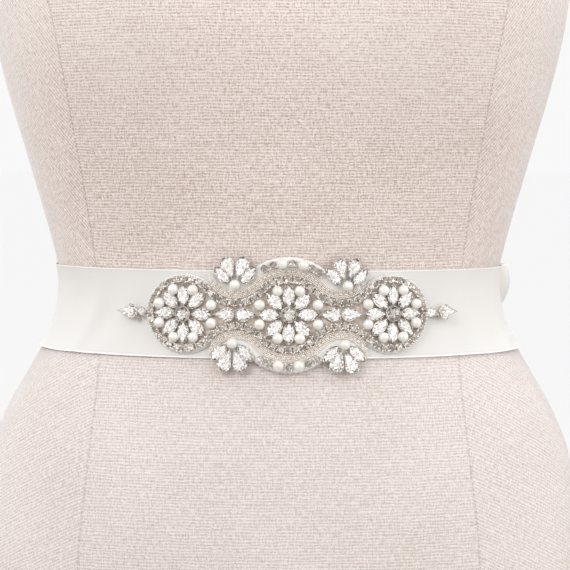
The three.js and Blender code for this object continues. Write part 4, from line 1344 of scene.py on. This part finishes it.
def round_claws(name, u, v, turn, corner):
    """Four rounded claws at the corners of each round stone's cup."""
    way = np.radians([45, 135, 225, 315])[:, None] + turn
    origins, axes = seat(
        (u + corner * np.cos(way)).ravel() * MM,
        (v + corner * np.sin(way)).ravel() * MM,
        TRIM_IN + 1.5 * MM,
        way.ravel(),
    )
    claw, faces = ball(0.66, 8, 6)
    points, faces = scatter(claw * np.array([1.2, 0.9, 1.7]), faces, origins, axes)
    make_piece(name, points, faces, [silver], "silver")


round_claws("chain_claws", chain_u, chain_v, chain_turn, CHAIN_CORNER)


# Outer arcs: above and below the middle flower, stones in cups and two pearls follow a circle.
ARC_STONES = np.array([-31.5, -21.5, 0, 21.5, 31.5])  # degrees along the circle
ARC_PEARLS = np.array([-11.3, 11.3])
ARC_STONE = round_outline(1.95, 10)


def outer_arc(name, upright):
    """Five stones and two pearls on the circle round the angle of its upright."""
    a = np.radians(upright + ARC_STONES)
    u, v = ARC_RADIUS * np.cos(a), ARC_RADIUS * np.sin(a)
    set_stones(
        f"arc_{name}", [(ARC_STONE, 2.6, DEEP_CUT, (), u, v, a, 0.35)], f"trim_arc_{name}", CHAIN_LEAN
    )
    round_claws(f"arc_claws_{name}", u, v, a, 2.4)
    a = np.radians(upright + ARC_PEARLS)
    nodes = [f"trim_arc_pearl_{name}_{k}" for k in (1, 2)]
    sew_pearls(f"arc_pearls_{name}", ARC_RADIUS * np.cos(a), ARC_RADIUS * np.sin(a), 0.6, nodes)


outer_arc("upper", 85.5)
outer_arc("lower", -90)


# Beaded bands: rows of silver-lined seed beads couched side by side, which follow the chain above and
# below and fade out beside the outer flowers.
def bead_material():
    """Silver-lined glass: pale warm grey, glossy, and uneven from bead to bead."""
    material, tree, shader = new_material(
        "seed_bead", Metallic=0.12, Roughness=0.25, Coat_Weight=1.0, Coat_Roughness=0.05
    )
    mottle(tree, shader, 620.0, 1.0, (0.88, 0.78, 0.68, 1), (1.0, 0.97, 0.925, 1))
    return material


seed_bead = bead_material()
# Distance out from the chain's centreline, pitch along the row, length and radius of a bead
BEAD_ROWS = [
    (2.75, 1.08, 0.95, 0.5),
    (3.75, 1.08, 0.95, 0.5),
    (4.75, 2.75, 2.6, 0.44),
    (5.7, 1.08, 0.95, 0.5),
    (6.65, 1.08, 0.95, 0.5),
]
BEADS_END = 45  # degrees round the outer flowers where the first row fades out
BEADS_END_STEP = 3  # each row further out stops this much sooner


def bead_row(row, flip):
    """One row of beads, blunt at their ends, as copies of one ball."""
    out, pitch, length, radius = BEAD_ROWS[row]
    end = np.radians(BEADS_END + BEADS_END_STEP * row)
    u, v, turn = spaced(wave_path(out, np.pi - end, end), pitch)
    u = u + chance.normal(0, 0.03, len(u))
    v = flip * v + chance.normal(0, 0.03, len(u))
    turn = flip * turn + chance.normal(0, 0.06, len(u))
    origins, axes = seat(u * MM, v * MM, TRIM_IN + radius * MM, turn)
    bead, faces = ball(radius, 8, 6)
    blunt = np.abs(bead[:, :1]) ** 0.55 * np.sign(bead[:, :1]) * radius**0.45
    bead = np.concatenate([blunt * length / 2 / radius, bead[:, 1:]], axis=1)
    size = chance.normal(1, 0.04, len(u))[:, None, None]
    return scatter(bead, faces, origins, axes * size)


def bead_band(name, flip):
    """The rows of one band, joined."""
    points, faces = join([bead_row(row, flip) for row in range(len(BEAD_ROWS))])
    made = make_piece(f"bead_band_{name}", points, faces, [seed_bead], "beads")
    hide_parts(f"trim_beads_{name}")


bead_band("upper", 1)
bead_band("lower", -1)


# Setting: a plain pale floor, soft studio light from above and the left, and the camera at the
# height and distance of the photograph.
def stage_material():
    """Even white floor for the camera. Other things see a dimmer floor, and the stones' foil sees it
    mottled with dark, as it would see a studio."""
    material, tree, shader = new_material(
        "studio_floor", Roughness=1.0, Specular_IOR_Level=0.0, Emission_Color=(1, 0.995, 0.995, 1)
    )
    path = add_node(tree, "ShaderNodeLightPath")
    seen, in_stone = path.outputs["Is Camera Ray"], path.outputs["Is Transmission Ray"]
    sparks = range_node(tree, noise_node(tree, object_place(tree), 5.0), 0.52, 0.60)
    spark = mix_node(tree, sparks, (0.84, 0.81, 0.78, 1), (0.24, 0.22, 0.21, 1))
    color = mix_node(tree, in_stone, (0.43, 0.41, 0.395, 1), spark)
    color = mix_node(tree, seen, color, (0.35, 0.347, 0.345, 1))
    tree.links.new(color, shader.inputs["Base Color"])
    tree.links.new(math_node(tree, "MULTIPLY", seen, 0.482), shader.inputs["Emission Strength"])
    return material


FLOOR_HALF = 40.0
floor_mesh = bpy.data.meshes.new("studio_floor")
floor_corners = np.array([[-1, -1, 0], [1, -1, 0], [1, 1, 0], [-1, 1, 0]]) * FLOOR_HALF
floor_mesh.from_pydata(floor_corners.tolist(), [], [[0, 1, 2, 3]])
floor_mesh.materials.append(stage_material())
floor = bpy.data.objects.new("studio_floor", floor_mesh)
bpy.context.scene.collection.objects.link(floor)

WORLD_LOW, WORLD_HIGH = 1.40, 1.72  # brightness near the floor and overhead
WORLD_FRONT = 0.72  # share of it behind the camera
WORLD_BESIDE = 1.45  # share of it at the two sides
WORLD_GAP = 0.15  # share of it in the dark gaps
WORLD_SPARK = (1.06, 0.42)  # what the stones' foil sees: white with many small dark gaps
WORLD_SEEN = 0.948  # what the camera sees


def studio_world():
    """Even white behind the form for the camera. For everything else it is a white studio, brightest
    overhead and at the sides and dimmer at the camera's side, with a few dark gaps. The stones' foil
    sees many small gaps."""
    world = bpy.data.worlds.new("studio")
    bpy.context.scene.world = world
    world.use_nodes = True
    tree = world.node_tree
    way = add_node(tree, "ShaderNodeTexCoord").outputs["Generated"]
    axes = add_node(tree, "ShaderNodeSeparateXYZ", {0: way})
    beside = math_node(tree, "ABSOLUTE", axes.outputs["X"])
    level = range_node(tree, axes.outputs["Z"], -0.3, 0.9, WORLD_LOW, WORLD_HIGH)
    for part in (
        range_node(tree, axes.outputs["Y"], -0.9, 0.2, WORLD_FRONT, 1.0),
        range_node(tree, beside, 0.5, 0.95, 1.0, WORLD_BESIDE),
        range_node(tree, noise_node(tree, way, (5.5, 5.5, 3.5), 1.0), 0.56, 0.60, 1.0, WORLD_GAP),
    ):
        level = math_node(tree, "MULTIPLY", level, part)
    path = add_node(tree, "ShaderNodeLightPath")
    seen, in_stone = path.outputs["Is Camera Ray"], path.outputs["Is Transmission Ray"]
    spark = range_node(tree, noise_node(tree, way, 8.0), 0.53, 0.60, *WORLD_SPARK)
    level = blend_node(tree, seen, blend_node(tree, in_stone, level, spark), WORLD_SEEN)
    background = tree.nodes["Background"].inputs
    tree.links.new(level, background["Strength"])
    high = range_node(tree, axes.outputs["Z"], -0.2, 0.7)
    tint = mix_node(tree, high, (1, 0.965, 0.94, 1), (0.97, 0.985, 1, 1))
    tint = mix_node(tree, in_stone, tint, (1, 0.975, 0.95, 1))
    tint = mix_node(tree, seen, tint, (1, 0.993, 0.993, 1))
    tree.links.new(tint, background["Color"])


studio_world()


def soft_light(name, place, aim, size, power):
    """A square soft light that faces a point."""
    light = bpy.data.lights.new(name, "AREA")
    light.size, light.energy = size, power
    made = bpy.data.objects.new(name, light)
    made.location = place
    made.rotation_euler = (Vector(aim) - Vector(place)).to_track_quat("-Z", "Y").to_euler()
    bpy.context.scene.collection.objects.link(made)


soft_light("key", (-0.9, -1.7, 1.3), (0, 0, 0.3), 0.35, 9.5)
soft_light("fill", (1.7, -1.2, 0.5), (0, 0, 0.36), 1.2, 8)

CAMERA_BACK = 1.6  # from the form's axis
CAMERA_HEIGHT = 0.355
CAMERA_RIGHT = 0.0035
CAMERA_DOWN = 2.9  # degrees below level
FOCAL_PIXELS = 2663
FRAME_PIXELS = 570  # the photograph's width and height
camera_data = bpy.data.cameras.new("camera")
camera_data.sensor_width = 36
camera_data.lens = 36 * FOCAL_PIXELS / FRAME_PIXELS
camera = bpy.data.objects.new("camera", camera_data)
camera.location = (CAMERA_RIGHT, -CAMERA_BACK, CAMERA_HEIGHT)
camera.rotation_euler = (np.radians(90 - CAMERA_DOWN), 0, 0)
bpy.context.scene.collection.objects.link(camera)
bpy.context.scene.camera = camera
bpy.context.scene.view_settings.view_transform = "Standard"
